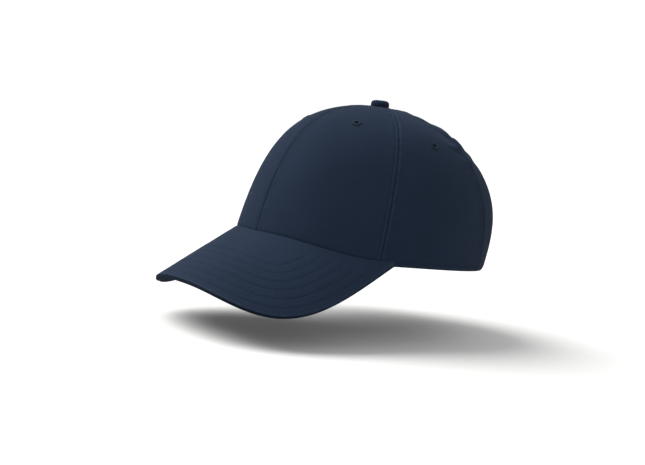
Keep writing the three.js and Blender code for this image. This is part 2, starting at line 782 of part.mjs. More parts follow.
for (const [word, side] of sides) {
  const front = panel(centreFront, frontSide, side);
  const middle = panel(frontSide, backSide, side);
  const back = panel(backSide, centreBack, side);
  piece(`front_panel_${word}`, cut(front, eyeletDrill("front", side)), materials.shell, cap);
  piece(`side_panel_${word}`, cut(middle, eyeletDrill("side", side)), materials.shell, cap);
  piece(`back_panel_${word}`, cut(back, eyeletDrill("back", side)), materials.shell, cap);
  const backing = cut(stiffener(side), eyeletDrill("front", side));
  piece(`front_stiffener_${word}`, backing, materials.stiffener, cap);
  for (const place of ["front", "side", "back"]) {
    const layers = place === "front" ? stiffenerDepth + stiffenerThickness : shellCloth;
    const ring = piece(`eyelet_${place}_${word}`, eyelet(layers), materials.thread, cap);
    const { at, normal } = eyeletSite(place, side);
    ring.position.copy(at);
    ring.quaternion.setFromUnitVectors(new THREE.Vector3(0, 0, 1), normal);
  }
}

const openingFoot = openingHeight + 2;
piece("seam_tape_centre", tape(0, centreFront, 1, centreBack, 1, openingFoot), materials.lining, cap);
piece("seam_tape_left_front", tape(1, frontSide, 1, backSide, -1), materials.lining, cap);
piece("seam_tape_right_front", tape(2, frontSide, -1, backSide, 1), materials.lining, cap);
piece("opening_binding", binding(), materials.shell, cap);
piece("sweatband_cover", sweatbandCover(), materials.lining, cap);
piece("sweatband_padding", sweatbandPadding(), materials.foam, cap);
piece("size_label", sizeLabel(), materials.label, cap);

const visor = new THREE.Group();
cap.add(visor);
piece("visor_top_cover", visorTopCover(), materials.shell, visor);
piece("visor_board", visorBoard(), materials.board, visor);
piece("visor_under_cover", visorUnderCover(), materials.shell, visor);
piece("visor_sandwich_piping", visorPiping(), materials.shell, visor);

const button = new THREE.Group();
button.position.set(0, buttonSetback, crownHeight + buttonSeat);
cap.add(button);
piece("button_cover", buttonCover(), materials.shell, button);
piece("button_shell", buttonShell(), materials.button, button);
piece("button_post", buttonPost(), materials.button, button);
piece("button_washer", buttonWasher(), materials.button, button);

piece("strap_long", longStrap(), materials.shell, cap);
piece("strap_short", shortStrap(), materials.shell, cap);
piece("buckle_frame", buckleFrame(), materials.buckle, cap);

const pin = new THREE.Group();
pin.applyMatrix4(pinFrame);
cap.add(pin);
piece("buckle_lever", buckleLever(), materials.buckle, pin);
piece("buckle_pin", bucklePin(), materials.buckle, pin);

export default cap;
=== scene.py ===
# A navy six-panel baseball cap: fine cloth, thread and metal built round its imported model.
# Everything is in metres and in the model's own frame: +Z up, -Y out through the visor, +X the
# wearer's left. Angles round the crown are in degrees from the centre front.
import math

import bpy
import numpy as np
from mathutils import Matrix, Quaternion, Vector, noise


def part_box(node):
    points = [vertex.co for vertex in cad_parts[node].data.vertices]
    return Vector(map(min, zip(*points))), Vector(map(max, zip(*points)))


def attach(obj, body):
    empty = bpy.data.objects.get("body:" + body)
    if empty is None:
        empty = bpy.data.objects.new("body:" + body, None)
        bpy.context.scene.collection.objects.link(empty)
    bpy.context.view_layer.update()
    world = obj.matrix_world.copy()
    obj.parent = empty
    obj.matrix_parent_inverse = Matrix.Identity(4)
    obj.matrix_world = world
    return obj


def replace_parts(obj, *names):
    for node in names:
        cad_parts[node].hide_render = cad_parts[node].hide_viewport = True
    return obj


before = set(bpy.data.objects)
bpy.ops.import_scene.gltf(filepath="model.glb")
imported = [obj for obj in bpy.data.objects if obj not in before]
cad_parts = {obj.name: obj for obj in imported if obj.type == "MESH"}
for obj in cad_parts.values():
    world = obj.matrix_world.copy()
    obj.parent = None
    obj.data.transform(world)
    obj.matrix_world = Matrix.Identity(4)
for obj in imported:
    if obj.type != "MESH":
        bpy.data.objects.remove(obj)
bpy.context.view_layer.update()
print("frame loaded:", len(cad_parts), "nodes")


# crown surface, the same curves that the solids were made from
crown = {
    "halfWidth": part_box("side_panel_left")[1].x,
    "halfLength": -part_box("front_panel_left")[0].y,
    "height": 0.123,
    "buttonSetback": 0.003,
    "lean": (11, 4, -23),  # front, side, back
    "hold": (0.58, 0.65, 0.68),
    "topHold": (0.7, 0.65, 0.56),
    "topFall": (-2, 0, 2),
    "frontSeam": (61, 75),  # its angle at the edge and at the button
    "backSeam": (120, 120),
    "cloth": 0.0008,
}
visor = {
    "angle": 67.7,
    "topAtFront": 0.0223,
    "slope": 30,
    "drop": 0.056,
    "power": 2.36,
    "halfSpan": 0.0844,
    "reach": 0.126,
    "spanPower": 0.82,
    "reachPower": 0.575,
    "endWidth": 0.003,
    "thickness": 0.0038,
}


def smooth(low, high, value):
    t = np.clip((np.asarray(value, float) - low) / (high - low), 0, 1)
    return t * t * (3 - 2 * t)


def bell(value, width):
    return np.exp(-((np.asarray(value) / width) ** 2))


def unit(vectors):
    return vectors / np.linalg.norm(vectors, axis=-1, keepdims=True)


def rounded(value):  # down a quarter circle from 1 to 0
    return np.sqrt(np.clip(1 - np.clip(value, 0, 1) ** 2, 0, 1))


def fromFront(angle):
    return np.abs((angle + 180) % 360 - 180)


def sideWord(side):
    return "left" if side > 0 else "right"


def around(values, angle):
    front, side, back = values
    turn = np.radians(angle)
    mean = (front + 2 * side + back) / 4
    pinch = (front - 2 * side + back) / 4
    return mean + (front - back) / 2 * np.cos(turn) + pinch * np.cos(2 * turn)


def archFall(x):
    return visor["drop"] * np.abs(x / crown["halfWidth"]) ** visor["power"]


def visorTop(x, y):
    forward = -crown["halfLength"] - y
    return visor["topAtFront"] - math.tan(math.radians(visor["slope"])) * forward - archFall(x)


def crownPlan(angle):
    turn = np.radians(angle)
    return crown["halfWidth"] * np.sin(turn), -crown["halfLength"] * np.cos(turn)


def lowerEdge(angle):
    angle = (np.asarray(angle, float) + 180) % 360 - 180
    x, y = crownPlan(angle)
    heldX, heldY = crownPlan(np.minimum(np.abs(angle), visor["angle"]))
    past = smooth(visor["angle"], 180, np.abs(angle))
    return np.stack([x, y, (visorTop(heldX, heldY) - visor["thickness"]) * (1 - past)], -1)


def crownSkin(angle, rise):
    angle, rise = np.broadcast_arrays(np.asarray(angle, float), np.asarray(rise, float))
    foot = lowerEdge(angle)
    apex = np.array([0, crown["buttonSetback"], crown["height"]])
    out = foot - apex
    out[..., 2] = 0
    reach = np.linalg.norm(out, axis=-1, keepdims=True)
    out = out / reach
    lean = np.radians(around(crown["lean"], angle))[..., None]
    fall = np.radians(around(crown["topFall"], angle))[..., None]
    up = np.array([0, 0, 1.0])
    wall = around(crown["hold"], angle)[..., None] * (crown["height"] - foot[..., 2:])
    top = around(crown["topHold"], angle)[..., None] * reach
    second = foot + wall * (up * np.cos(lean) - out * np.sin(lean))
    third = apex + top * (out * np.cos(fall) - up * np.sin(fall))
    t = rise[..., None]
    return (1 - t) ** 3 * foot + 3 * (1 - t) ** 2 * t * second + 3 * (1 - t) * t * t * third + t ** 3 * apex


def crownFrame(angle, rise):
    step = 1e-3
    along = crownSkin(angle + step, rise) - crownSkin(angle - step, rise)
    up = crownSkin(angle, np.minimum(rise + step, 1)) - crownSkin(angle, rise - step)
    return unit(along), unit(up), unit(np.cross(along, up))


def crownPoint(angle, rise, depth=0.0):
    normal = crownFrame(angle, rise)[2]
    return crownSkin(angle, rise) - normal * np.asarray(depth, float)[..., None]


def planRadius(angle, rise):
    point = crownSkin(angle, rise)
    return np.hypot(point[..., 0], point[..., 1] - crown["buttonSetback"])


def wallLengths(angle, steps=160):
    rises = np.linspace(0, 1, steps + 1)
    line = crownSkin(np.full(steps + 1, float(angle)), rises)
    return rises, np.r_[0, np.cumsum(np.linalg.norm(np.diff(line, axis=0), axis=1))]


def riseAt(angle, length):
    rises, lengths = wallLengths(angle)
    return np.interp(length, lengths, rises)


def riseBelowTop(angle, length):
    rises, lengths = wallLengths(angle)
    return np.interp(lengths[-1] - length, lengths, rises)


def riseAtRadius(angle, radius):
    rises = np.linspace(0.5, 1, 400)
    return float(np.interp(-radius, -planRadius(np.full(400, float(angle)), rises), rises))


def seamAngle(seam, rise):
    return seam[0] + (seam[1] - seam[0]) * rise


seams = [(0, 0), crown["frontSeam"], crown["backSeam"], (180, 180)]
seams += [tuple(-a for a in crown["backSeam"]), tuple(-a for a in crown["frontSeam"])]


opening = {
    "halfWidth": 0.031,
    "height": 0.044,
    "reach": 0.0045,
    "calmWithin": (24, 42),  # degrees from the centre back where the cloth lies calm round it
    "seamsFadeWithin": (24, 30),
}
opening["angle"] = math.degrees(math.asin(opening["halfWidth"] / crown["halfWidth"]))
opening["top"] = float(riseAt(180, opening["height"]))


def openingEdge(rise):
    return opening["angle"] * np.sqrt(np.clip(1 - (rise / opening["top"]) ** 2, 0, 1))


# seams, puckers and soft unevenness of the sewn shell
relief = {
    "valley": 0.00045,  # how far the panels turn in at a seam
    "valleyWidth": 0.0005,
    "ridge": 0.00024,  # seam allowance and tape under the cloth
    "ridgeStarts": (0.0004, 0.0018),
    "ridgeEnds": (0.0032, 0.0075),
    "stitchFromSeam": 0.0028,
    "stitchDip": 0.00028,
    "stitchWidth": 0.0005,
    "pucker": 0.00032,
    "puckerLength": 0.0052,
    "puckerReach": 0.0085,
    "dent": 0.0009,
    "dentSize": 0.042,
    "crease": 0.0005,  # soft level folds across the unlined back
    "creaseLength": 0.0145,
    "backRipple": 0.0009,  # the unlined back gathers a little along its seams
    "backRippleLength": 0.013,
    "backStarts": (95, 125),  # degrees from the front
    "topFade": (0.006, 0.02),  # calm under the button
    "tuck": 0.0014,  # the hem turns in a little behind
    "tuckHeight": 0.0058,
    "tuckStarts": (80, 125),
    "visorCrease": 0.0005,  # the panels are drawn in where the visor is sewn on
    "visorCreaseWidth": 0.0011,
    "hemStitch": 0.0035,
    "hemDip": 0.00028,
    "hemSwell": 0.0002,
    "hemSwellEnds": (0.0045, 0.008),
}


def uneven(points, size, seed=0.0):
    shape = points.shape[:-1]
    flat = points.reshape(-1, 3) / size + seed
    values = [noise.noise(Vector(p)) for p in flat.tolist()]
    return np.array(values).reshape(shape)


def seamDistances(angle, rise):
    radius = planRadius(angle, rise)
    gaps = []
    for seam in seams:
        turn = (angle - seamAngle(seam, rise) + 180) % 360 - 180
        gaps.append(np.abs(np.radians(turn)) * radius)
    return np.stack(gaps, -1)


def nearOpening(angle, rise):
    beside = 1 - smooth(*opening["calmWithin"], 180 - fromFront(angle))
    return beside * (1 - smooth(opening["top"], opening["top"] * 1.4, rise))


def shellDrift(angle, rise, skin):
    topFade = smooth(*relief["topFade"], planRadius(angle, rise))
    back = smooth(*relief["backStarts"], fromFront(angle))
    gap = np.minimum(seamDistances(angle, rise)[..., 2:5].min(-1), 0.05)
    swing = np.sin(skin[..., 2] / relief["backRippleLength"] * 2 * math.pi + 9 * uneven(skin, 0.03, 7.7))
    swing *= np.exp(-((gap - 0.006) / 0.009) ** 2) * smooth(0.3, 0.6, rise)
    height = relief["backRipple"] * swing * back
    level = np.sin(skin[..., 2] / relief["creaseLength"] * 2 * math.pi + 7 * uneven(skin, 0.045, 23.0))
    level = np.sign(level) * np.abs(level) ** 1.5 * (0.6 + 0.8 * uneven(skin, 0.03, 29.0))
    height += relief["crease"] * level * back * smooth(0.32, 0.5, rise)
    height += relief["dent"] * (0.35 + 0.65 * back) * uneven(skin, relief["dentSize"], 11.3)
    return height * topFade * (1 - nearOpening(angle, rise))


def hemTuck(angle, up):
    turn = fromFront(angle)
    hem = smooth(*relief["tuckStarts"], turn) * np.clip(1 - up / relief["tuckHeight"], 0, 1) ** 2
    held = 1 - smooth(visor["angle"] - 9, visor["angle"] - 1, turn)
    crease = held * bell(up - visor["thickness"], relief["visorCreaseWidth"])
    return relief["tuck"] * hem + relief["visorCrease"] * crease


def shellRelief(angle, rise):
    angle, rise = np.broadcast_arrays(np.asarray(angle, float), np.asarray(rise, float))
    nearest = seamDistances(angle, rise).min(-1)
    skin = crownSkin(angle, rise)
    topFade = smooth(*relief["topFade"], planRadius(angle, rise))
    height = -relief["valley"] * bell(nearest, relief["valleyWidth"])
    bump = smooth(*relief["ridgeStarts"], nearest) * (1 - smooth(*relief["ridgeEnds"], nearest))
    height += relief["ridge"] * bump * topFade
    height -= relief["stitchDip"] * bell(nearest - relief["stitchFromSeam"], relief["stitchWidth"]) * topFade
    pull = uneven(skin * [1, 1, 1.6], relief["puckerLength"], 3.1) * np.exp(-nearest / relief["puckerReach"])
    height += relief["pucker"] * pull * topFade
    beside = 1 - smooth(*opening["seamsFadeWithin"], 180 - fromFront(angle))
    height *= 1 - beside * (1 - smooth(opening["top"], opening["top"] * 1.12, rise))
    up = np.linalg.norm(skin - crownSkin(angle, np.zeros_like(rise)), axis=-1)
    free = smooth(visor["angle"] - 1, visor["angle"] + 1, fromFront(angle))
    height -= relief["hemDip"] * bell(up - relief["hemStitch"], relief["stitchWidth"]) * free
    height += relief["hemSwell"] * (1 - smooth(*relief["hemSwellEnds"], up)) * free
    return height + shellDrift(angle, rise, skin) - hemTuck(angle, up)


def shellPoint(angle, rise, proud=0.0):
    return crownPoint(angle, rise, -(shellRelief(angle, rise) + proud))


# materials
cottonTwill = {
    "colour": (0.0089, 0.0151, 0.0289),
    "worn": (0.024, 0.037, 0.06),
    "rib": 0.00085,
    "thread": 0.00042,
    "rough": 0.86,
    "sheen": 0.04,
}
liningWeave = {
    "colour": (0.0105, 0.0175, 0.034),
    "worn": (0.03, 0.043, 0.07),
    "rib": 0.0007,
    "rough": 0.9,
    "sheen": 0.08,
}
sewingThread = {"colour": (0.0098, 0.0165, 0.032), "twist": 0.0006, "rough": 0.6, "sheen": 0.05}
buckram = {"colour": (0.62, 0.6, 0.54), "hole": (0.2, 0.19, 0.17), "mesh": 0.0013, "rough": 0.82}
foamTape = {"colour": (0.7, 0.66, 0.58), "grain": 0.0006, "rough": 0.95}
satinTape = {"colour": (0.74, 0.73, 0.69), "rib": 0.00035, "rough": 0.42, "sheen": 0.15, "gloss": 0.5}
mouldedSheet = {"colour": (0.78, 0.77, 0.73), "grain": 0.0012, "rough": 0.48}
antiqueBrass = {"colour": (0.33, 0.245, 0.14), "dark": (0.075, 0.055, 0.036), "grain": 0.0016, "rough": 0.3}
satinMetal = {"colour": (0.6, 0.6, 0.61), "dark": (0.33, 0.33, 0.34), "grain": 0.001, "rough": 0.34}


class Shader:
    def __init__(self, name):
        self.material = bpy.data.materials.new(name)
        self.material.use_nodes = True
        self.tree = self.material.node_tree
        self.surface = self.tree.nodes["Principled BSDF"]

    def add(self, kind, inputs=None, **settings):
        node = self.tree.nodes.new(kind)
        for key, value in settings.items():
            setattr(node, key, value)
        for key, value in (inputs or {}).items():
            if isinstance(value, bpy.types.NodeSocket):
                self.tree.links.new(value, node.inputs[key])
            else:
                node.inputs[key].default_value = value
        return node

    def math(self, operation, first, second=0.0, third=0.0):
        return self.add("ShaderNodeMath", {0: first, 1: second, 2: third}, operation=operation).outputs[0]

    def noise(self, place, scale, detail=3.0, rough=0.55):
        inputs = {"Vector": place, "Scale": scale, "Detail": detail, "Roughness": rough}
        return self.add("ShaderNodeTexNoise", inputs).outputs["Fac"]

    def range(self, value, low, high, newLow, newHigh):
        inputs = {"Value": value, "From Min": low, "From Max": high, "To Min": newLow, "To Max": newHigh}
        return self.add("ShaderNodeMapRange", inputs).outputs["Result"]

    def mix(self, factor, first, second):
        node = self.add("ShaderNodeMix", data_type="RGBA")
        for key, value in (("Factor", factor), ("A", first), ("B", second)):
            socket = next(s for s in node.inputs if s.name == key and s.enabled)
            if isinstance(value, bpy.types.NodeSocket):
                self.tree.links.new(value, socket)
            else:
                socket.default_value = value if key == "Factor" else (*value, 1)
        return next(s for s in node.outputs if s.enabled)

    def set(self, **values):
        names = {"colour": "Base Color", "rough": "Roughness", "metal": "Metallic", "normal": "Normal"}
        names.update(sheen="Sheen Weight", sheenRough="Sheen Roughness", sheenTint="Sheen Tint")
        names.update(gloss="Specular IOR Level")
        for key, value in values.items():
            socket = self.surface.inputs[names[key]]
            if isinstance(value, bpy.types.NodeSocket):
                self.tree.links.new(value, socket)
            else:
                socket.default_value = value

    def scaled(self, colour, amount):
        inputs = {0: colour, "Scale": amount}
        return self.add("ShaderNodeVectorMath", inputs, operation="SCALE").outputs[0]

    def bump(self, height, distance, strength=1.0, normal=None):
        inputs = {"Height": height, "Distance": distance, "Strength": strength}
        if normal is not None:
            inputs["Normal"] = normal
        return self.add("ShaderNodeBump", inputs).outputs["Normal"]

    def flat(self):
        uv = self.add("ShaderNodeUVMap", uv_map="flat").outputs["UV"]
        split = self.add("ShaderNodeSeparateXYZ", {0: uv})
        return split.outputs["X"], split.outputs["Y"]

    def solid(self):
        return self.add("ShaderNodeTexCoord").outputs["Object"]


def waves(shader, value, length, wander=0.0):
    turns = shader.math("MULTIPLY_ADD", value, 2 * math.pi / length, wander)
    return shader.math("SINE", turns)


def wornEdges(shader, place, worn, base, amount=1.0):
    wear = shader.add("ShaderNodeAttribute", attribute_name="wear").outputs["Fac"]
    patch = shader.range(shader.noise(place, 260, 4), 0.35, 0.7, 0.15, 1.0)
    factor = shader.math("MULTIPLY", shader.math("MULTIPLY", wear, patch), amount)
    return shader.mix(factor, base, worn)


def twillMaterial(name="brushed_twill", shade=1.0):
    shader = Shader(name)
    across, up = shader.flat()
    place = shader.solid()
    drift = shader.math("MULTIPLY", shader.noise(place, 900, 2), 1.6)
    diagonal = shader.math("MULTIPLY_ADD", across, 0.86, shader.math("MULTIPLY", up, -0.51))
    counter = shader.math("MULTIPLY_ADD", across, 0.51, shader.math("MULTIPLY", up, 0.86))
    ribs = waves(shader, diagonal, cottonTwill["rib"] * 0.75, drift)
    threads = waves(shader, counter, cottonTwill["thread"], drift)
    weave = shader.math("MULTIPLY_ADD", threads, 0.35, ribs)
    nap = shader.noise(place, 2600, 5, 0.7)
    height = shader.math("MULTIPLY_ADD", nap, 1.4, weave)
    broad = shader.range(shader.noise(place, 22, 3), 0.3, 0.72, 0.93 * shade, 1.07 * shade)
    fine = shader.range(nap, 0.25, 0.75, 0.78, 1.25)
    rib = shader.range(weave, -1.3, 1.3, 0.86, 1.12)
    tone = shader.math("MULTIPLY", shader.math("MULTIPLY", broad, fine), rib)
    tinted = shader.scaled(cottonTwill["colour"], tone)
    colour = wornEdges(shader, place, cottonTwill["worn"], tinted, 0.5)
    rough = shader.range(nap, 0.2, 0.8, cottonTwill["rough"] - 0.06, cottonTwill["rough"] + 0.08)
    shader.set(colour=colour, rough=rough, normal=shader.bump(height, 0.00009, 0.8))
    shader.set(sheen=cottonTwill["sheen"], sheenRough=0.55, sheenTint=(0.42, 0.55, 0.8, 1), gloss=0.02)
    return shader.material


def weaveMaterial(name, facts, tint=(0.5, 0.62, 0.85, 1), distance=0.00006):
    shader = Shader(name)
    across, up = shader.flat()
    place = shader.solid()
    drift = shader.math("MULTIPLY", shader.noise(place, 700, 2), 1.2)
    warp = waves(shader, across, facts["rib"], drift)
    weft = waves(shader, up, facts["rib"] * 1.1, drift)
    weave = shader.math("MULTIPLY", warp, weft)
    nap = shader.noise(place, 2200, 4, 0.65)
    height = shader.math("MULTIPLY_ADD", nap, 0.9, weave)
    broad = shader.range(shader.noise(place, 30, 3), 0.3, 0.7, 0.86, 1.1)
    tone = shader.math("MULTIPLY", broad, shader.range(height, -0.8, 1.8, 0.8, 1.15))
    tinted = shader.scaled(facts["colour"], tone)
    colour = wornEdges(shader, place, facts.get("worn", facts["colour"]), tinted, 0.5)
    rough = shader.range(nap, 0.2, 0.8, facts["rough"] - 0.06, facts["rough"] + 0.06)
    shader.set(colour=colour, rough=rough, normal=shader.bump(height, distance, 0.8))
    shader.set(sheen=facts.get("sheen", 0.1), sheenRough=0.5, sheenTint=tint, gloss=facts.get("gloss", 0.04))
    return shader.material


def threadMaterial(name="sewing_thread", shade=1.0):
    shader = Shader(name)
    along, girth = shader.flat()
    place = shader.solid()
    twist = waves(shader, shader.math("MULTIPLY_ADD", girth, 1.7, along), sewingThread["twist"])
    fibre = shader.noise(place, 4000, 3)
    # shade below 1 darkens the whole thread evenly; the eyelets use it, partly as their own self-colour and
    # partly as painted shade
    ply = shader.range(twist, -1, 1, 0.7 * shade, 1.2 * shade)
    tone = shader.math("MULTIPLY", ply, shader.range(fibre, 0.2, 0.8, 0.85, 1.15))
    rough = shader.range(fibre, 0.2, 0.8, sewingThread["rough"] - 0.08, sewingThread["rough"] + 0.1)
    colour = shader.scaled(sewingThread["colour"], tone)
    shader.set(colour=colour, rough=rough, normal=shader.bump(twist, 0.00005, 0.7))
    shader.set(sheen=sewingThread["sheen"], sheenRough=0.4, sheenTint=(0.5, 0.62, 0.85, 1), gloss=0.04)
    return shader.material


def buckramMaterial(name="stiffened_buckram"):
    shader = Shader(name)
    across, up = shader.flat()
    place = shader.solid()
    warp = waves(shader, across, buckram["mesh"])
    weft = waves(shader, up, buckram["mesh"])
    yarn = shader.math("MAXIMUM", warp, weft)
    height = shader.math("MULTIPLY_ADD", shader.noise(place, 1800, 3), 0.5, yarn)
    colour = shader.mix(shader.range(yarn, -0.6, 0.35, 0, 1), buckram["hole"], buckram["colour"])
    size = shader.noise(place, 120, 3)
    rough = shader.range(size, 0.3, 0.7, buckram["rough"] - 0.12, buckram["rough"] + 0.08)
    shader.set(colour=colour, rough=rough, normal=shader.bump(height, 0.00018, 0.9))
    return shader.material


def grainMaterial(name, facts, bumpDistance):
    shader = Shader(name)
    place = shader.solid()
    grain = shader.noise(place, 1 / facts["grain"], 4, 0.6)
    broad = shader.range(shader.noise(place, 40, 3), 0.3, 0.7, 0.9, 1.05)
    tone = shader.math("MULTIPLY", broad, shader.range(grain, 0.2, 0.8, 0.88, 1.08))
    colour = shader.scaled(facts["colour"], tone)
    rough = shader.range(grain, 0.2, 0.8, facts["rough"] - 0.05, min(facts["rough"] + 0.07, 1))
    shader.set(colour=colour, rough=rough, normal=shader.bump(grain, bumpDistance, 0.6))
    return shader.material


def metalMaterial(name, facts):
    shader = Shader(name)
    place = shader.solid()
    grain = shader.noise(place, 1 / facts["grain"], 5, 0.65)
    cloud = shader.noise(place, 180, 4, 0.6)
    edge = shader.add("ShaderNodeNewGeometry").outputs["Pointiness"]
    polish = shader.range(edge, 0.47, 0.56, 0.0, 0.8)
    bare = shader.math("SUBTRACT", cloud, shader.math("MULTIPLY", polish, 0.35))
    colour = shader.mix(shader.range(bare, 0.35, 0.65, 0, 0.75), facts["colour"], facts["dark"])
    mottled = shader.math("MULTIPLY_ADD", grain, 0.5, cloud)
    rough = shader.range(mottled, 0.5, 1.1, facts["rough"] - 0.08, facts["rough"] + 0.2)
    shader.set(colour=colour, rough=rough, metal=1.0, normal=shader.bump(grain, 0.00002, 0.5))
    return shader.material


finishes = {
    "twill": twillMaterial(),
    "lining": weaveMaterial("plain_weave_lining", liningWeave),
    "thread": threadMaterial(),
    # a darker copy of the sewing thread for the eyelets: partly their own self-colour, brought near the
    # shell's, and partly painted shade that damps the light their raised lip catches
    "shadedEyeletThread": threadMaterial("eyelet_thread_painted_shade", 0.85),
    "darkTwill": twillMaterial("dark_twill", 0.42),
    "buckram": buckramMaterial(),
    "foam": grainMaterial("soft_foam", foamTape, 0.0001),
    "satin": weaveMaterial("satin_label", satinTape, (1, 1, 1, 1), 0.00002),
    "board": grainMaterial("moulded_board", mouldedSheet, 0.00004),
    "brass": metalMaterial("antique_brass", antiqueBrass),
    "metal": metalMaterial("satin_metal", satinMetal),
}
print("materials made:", len(finishes))


# closed meshes from grids of points
def newPiece(name, points, faces, uv, slot, material, body="crown", wear=None):
    mesh = bpy.data.meshes.new(name)
    mesh.from_pydata(np.asarray(points, float).reshape(-1, 3).tolist(), [], faces)
    layer = mesh.uv_layers.new(name="flat")
    corners = np.zeros(len(mesh.loops), np.int32)
    mesh.loops.foreach_get("vertex_index", corners)
    layer.data.foreach_set("uv", np.asarray(uv, float).reshape(-1, 2)[corners].ravel())
    if wear is not None:
        worn = mesh.attributes.new("wear", "FLOAT", "POINT")
        worn.data.foreach_set("value", np.asarray(wear, np.float32).ravel())
    mesh.update()
    if meshVolume(mesh) < 0:
        mesh.flip_normals()
    mesh.polygons.foreach_set("use_smooth", np.ones(len(mesh.polygons), bool))
    mesh.materials.append(finishes[material])
    piece = bpy.data.objects.new(name, mesh)
    bpy.context.scene.collection.objects.link(piece)
    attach(piece, body)
    return piece


def meshVolume(mesh):
    mesh.calc_loop_triangles()
    corners = np.zeros(len(mesh.vertices) * 3)
    mesh.vertices.foreach_get("co", corners)
    triangles = np.zeros(len(mesh.loop_triangles) * 3, np.int32)
    mesh.loop_triangles.foreach_get("vertices", triangles)
    p = corners.reshape(-1, 3)[triangles.reshape(-1, 3)]
    return np.einsum("ij,ij->i", p[:, 0], np.cross(p[:, 1], p[:, 2])).sum() / 6


def gridCells(rows, columns):
    index = np.arange(rows * columns).reshape(rows, columns)
    return np.stack([index[:-1, :-1], index[:-1, 1:], index[1:, 1:], index[1:, :-1]], -1)


def sheetPiece(name, outer, inner, uv, keep=None, wear=None, **facts):
    rows, columns = outer.shape[:2]
    under = rows * columns
    cells = gridCells(rows, columns)
    if keep is None:
        keep = np.ones((rows - 1, columns - 1), bool)
    kept = cells[keep].reshape(-1, 4)
    edges = np.concatenate([kept[:, [k, (k + 1) % 4]] for k in range(4)])
    known = {(a, b) for a, b in edges.tolist()}
    rim = [(a, b) for a, b in known if (b, a) not in known]
    faces = kept.tolist() + (kept[:, ::-1] + under).tolist()
    faces += [[b, a, a + under, b + under] for a, b in sorted(rim)]
    points = np.concatenate([outer.reshape(-1, 3), inner.reshape(-1, 3)])
    flat = np.asarray(uv, float).reshape(-1, 2)
    used = np.unique(np.concatenate([kept.ravel(), kept.ravel() + under]))
    fresh = np.full(2 * under, -1)
    fresh[used] = np.arange(len(used))
    faces = [[int(fresh[v]) for v in face] for face in faces]
    if wear is not None:
        wear = np.concatenate([wear.ravel(), wear.ravel()])[used]
    return newPiece(name, points[used], faces, np.concatenate([flat, flat])[used], wear=wear, **facts)


def ringPiece(name, rings, uv, closed=False, **facts):
    count, sides = rings.shape[:2]  # each ring is one closed section
    index = np.arange(count * sides).reshape(count, sides)
    index = np.concatenate([index, index[:, :1]], 1)
    if closed:
        index = np.concatenate([index, index[:1]], 0)
    corners = [index[:-1, :-1], index[:-1, 1:], index[1:, 1:], index[1:, :-1]]
    faces = np.stack(corners, -1).reshape(-1, 4).tolist()
    if not closed:
        faces.append(list(range(sides))[::-1])
        faces.append(list(range((count - 1) * sides, count * sides)))
    return newPiece(name, rings, faces, uv, **facts)


def travelled(points, axis=0):
    step = np.linalg.norm(np.diff(points, axis=axis), axis=-1)
    start = np.zeros_like(np.take(step, [0], axis=axis))
    return np.concatenate([start, np.cumsum(step, axis=axis)], axis=axis)


def laidFlat(across, up):
    return np.stack(np.broadcast_arrays(across, up), -1)


# a strip's outline where it is folded round an edge: along one face, round the nose and back
def foldedSection(legs, low, radius, half, bends):
    bend = np.linspace(0, math.pi, bends)[1:-1]
    section = []
    for grow in (half, -half):
        across = legs[-1] - (radius + grow) * np.sin(bend)
        nose = np.stack([across, low + radius - (radius + grow) * np.cos(bend)], -1)
        lowLeg = np.stack([legs, np.full(legs.size, low - grow)], -1)
        highLeg = np.stack([legs[::-1], np.full(legs.size, low + 2 * radius + grow)], -1)
        section.append(np.concatenate([lowLeg, nose, highLeg]))
    return np.concatenate([section[0], section[1][::-1]])


def spacedByDistance(width, edge, fine, coarse):
    near = np.arange(0, edge, fine)
    middle = np.linspace(edge, width - edge, max(int((width - 2 * edge) / coarse), 2) + 1)
    return np.concatenate([near, middle, width - near[::-1]]) / width


# crown panels
panelFacts = {
    "row": 0.0012,
    "fineColumn": 0.00045,
    "column": 0.0018,
    "fineWidth": 0.0065,  # beside each seam
    "hemRows": (0, 0.0001, 0.0002, 0.00035, 0.0006, 0.001, 0.0015),
    "lowRows": (0.002, 0.0085, 0.0005),  # first, last and step
    "flatRadius": 0.096,
    "foldWear": (0.0004, 0.002),
    "seamEase": 0.00006,
    "topHole": 0.003,
    "hemRoll": 0.0006,
    "eyeletCut": 0.00285,
}
panelSeams = {
    "front": (seams[0], seams[1]),
    "side": (seams[1], seams[2]),
    "back": (seams[2], seams[3]),
}
eyeletSites = {"front": (37, 0.060), "side": (94, 0.069), "back": (149, 0.069)}  # angle, length from the top


def siteOf(place, side):
    angle, fromTop = eyeletSites[place]
    rise = riseBelowTop(angle, fromTop)
    at = shellPoint(np.array(side * angle, float), np.array(rise))
    return at, crownFrame(np.array(side * angle, float), np.array(rise))


def flatPlace(angle, rise, middle):
    rises, lengths = wallLengths(middle)
    across = np.radians(angle - middle) * planRadius(angle, rise)
    return np.stack([across, np.interp(rise, rises, lengths)], -1)


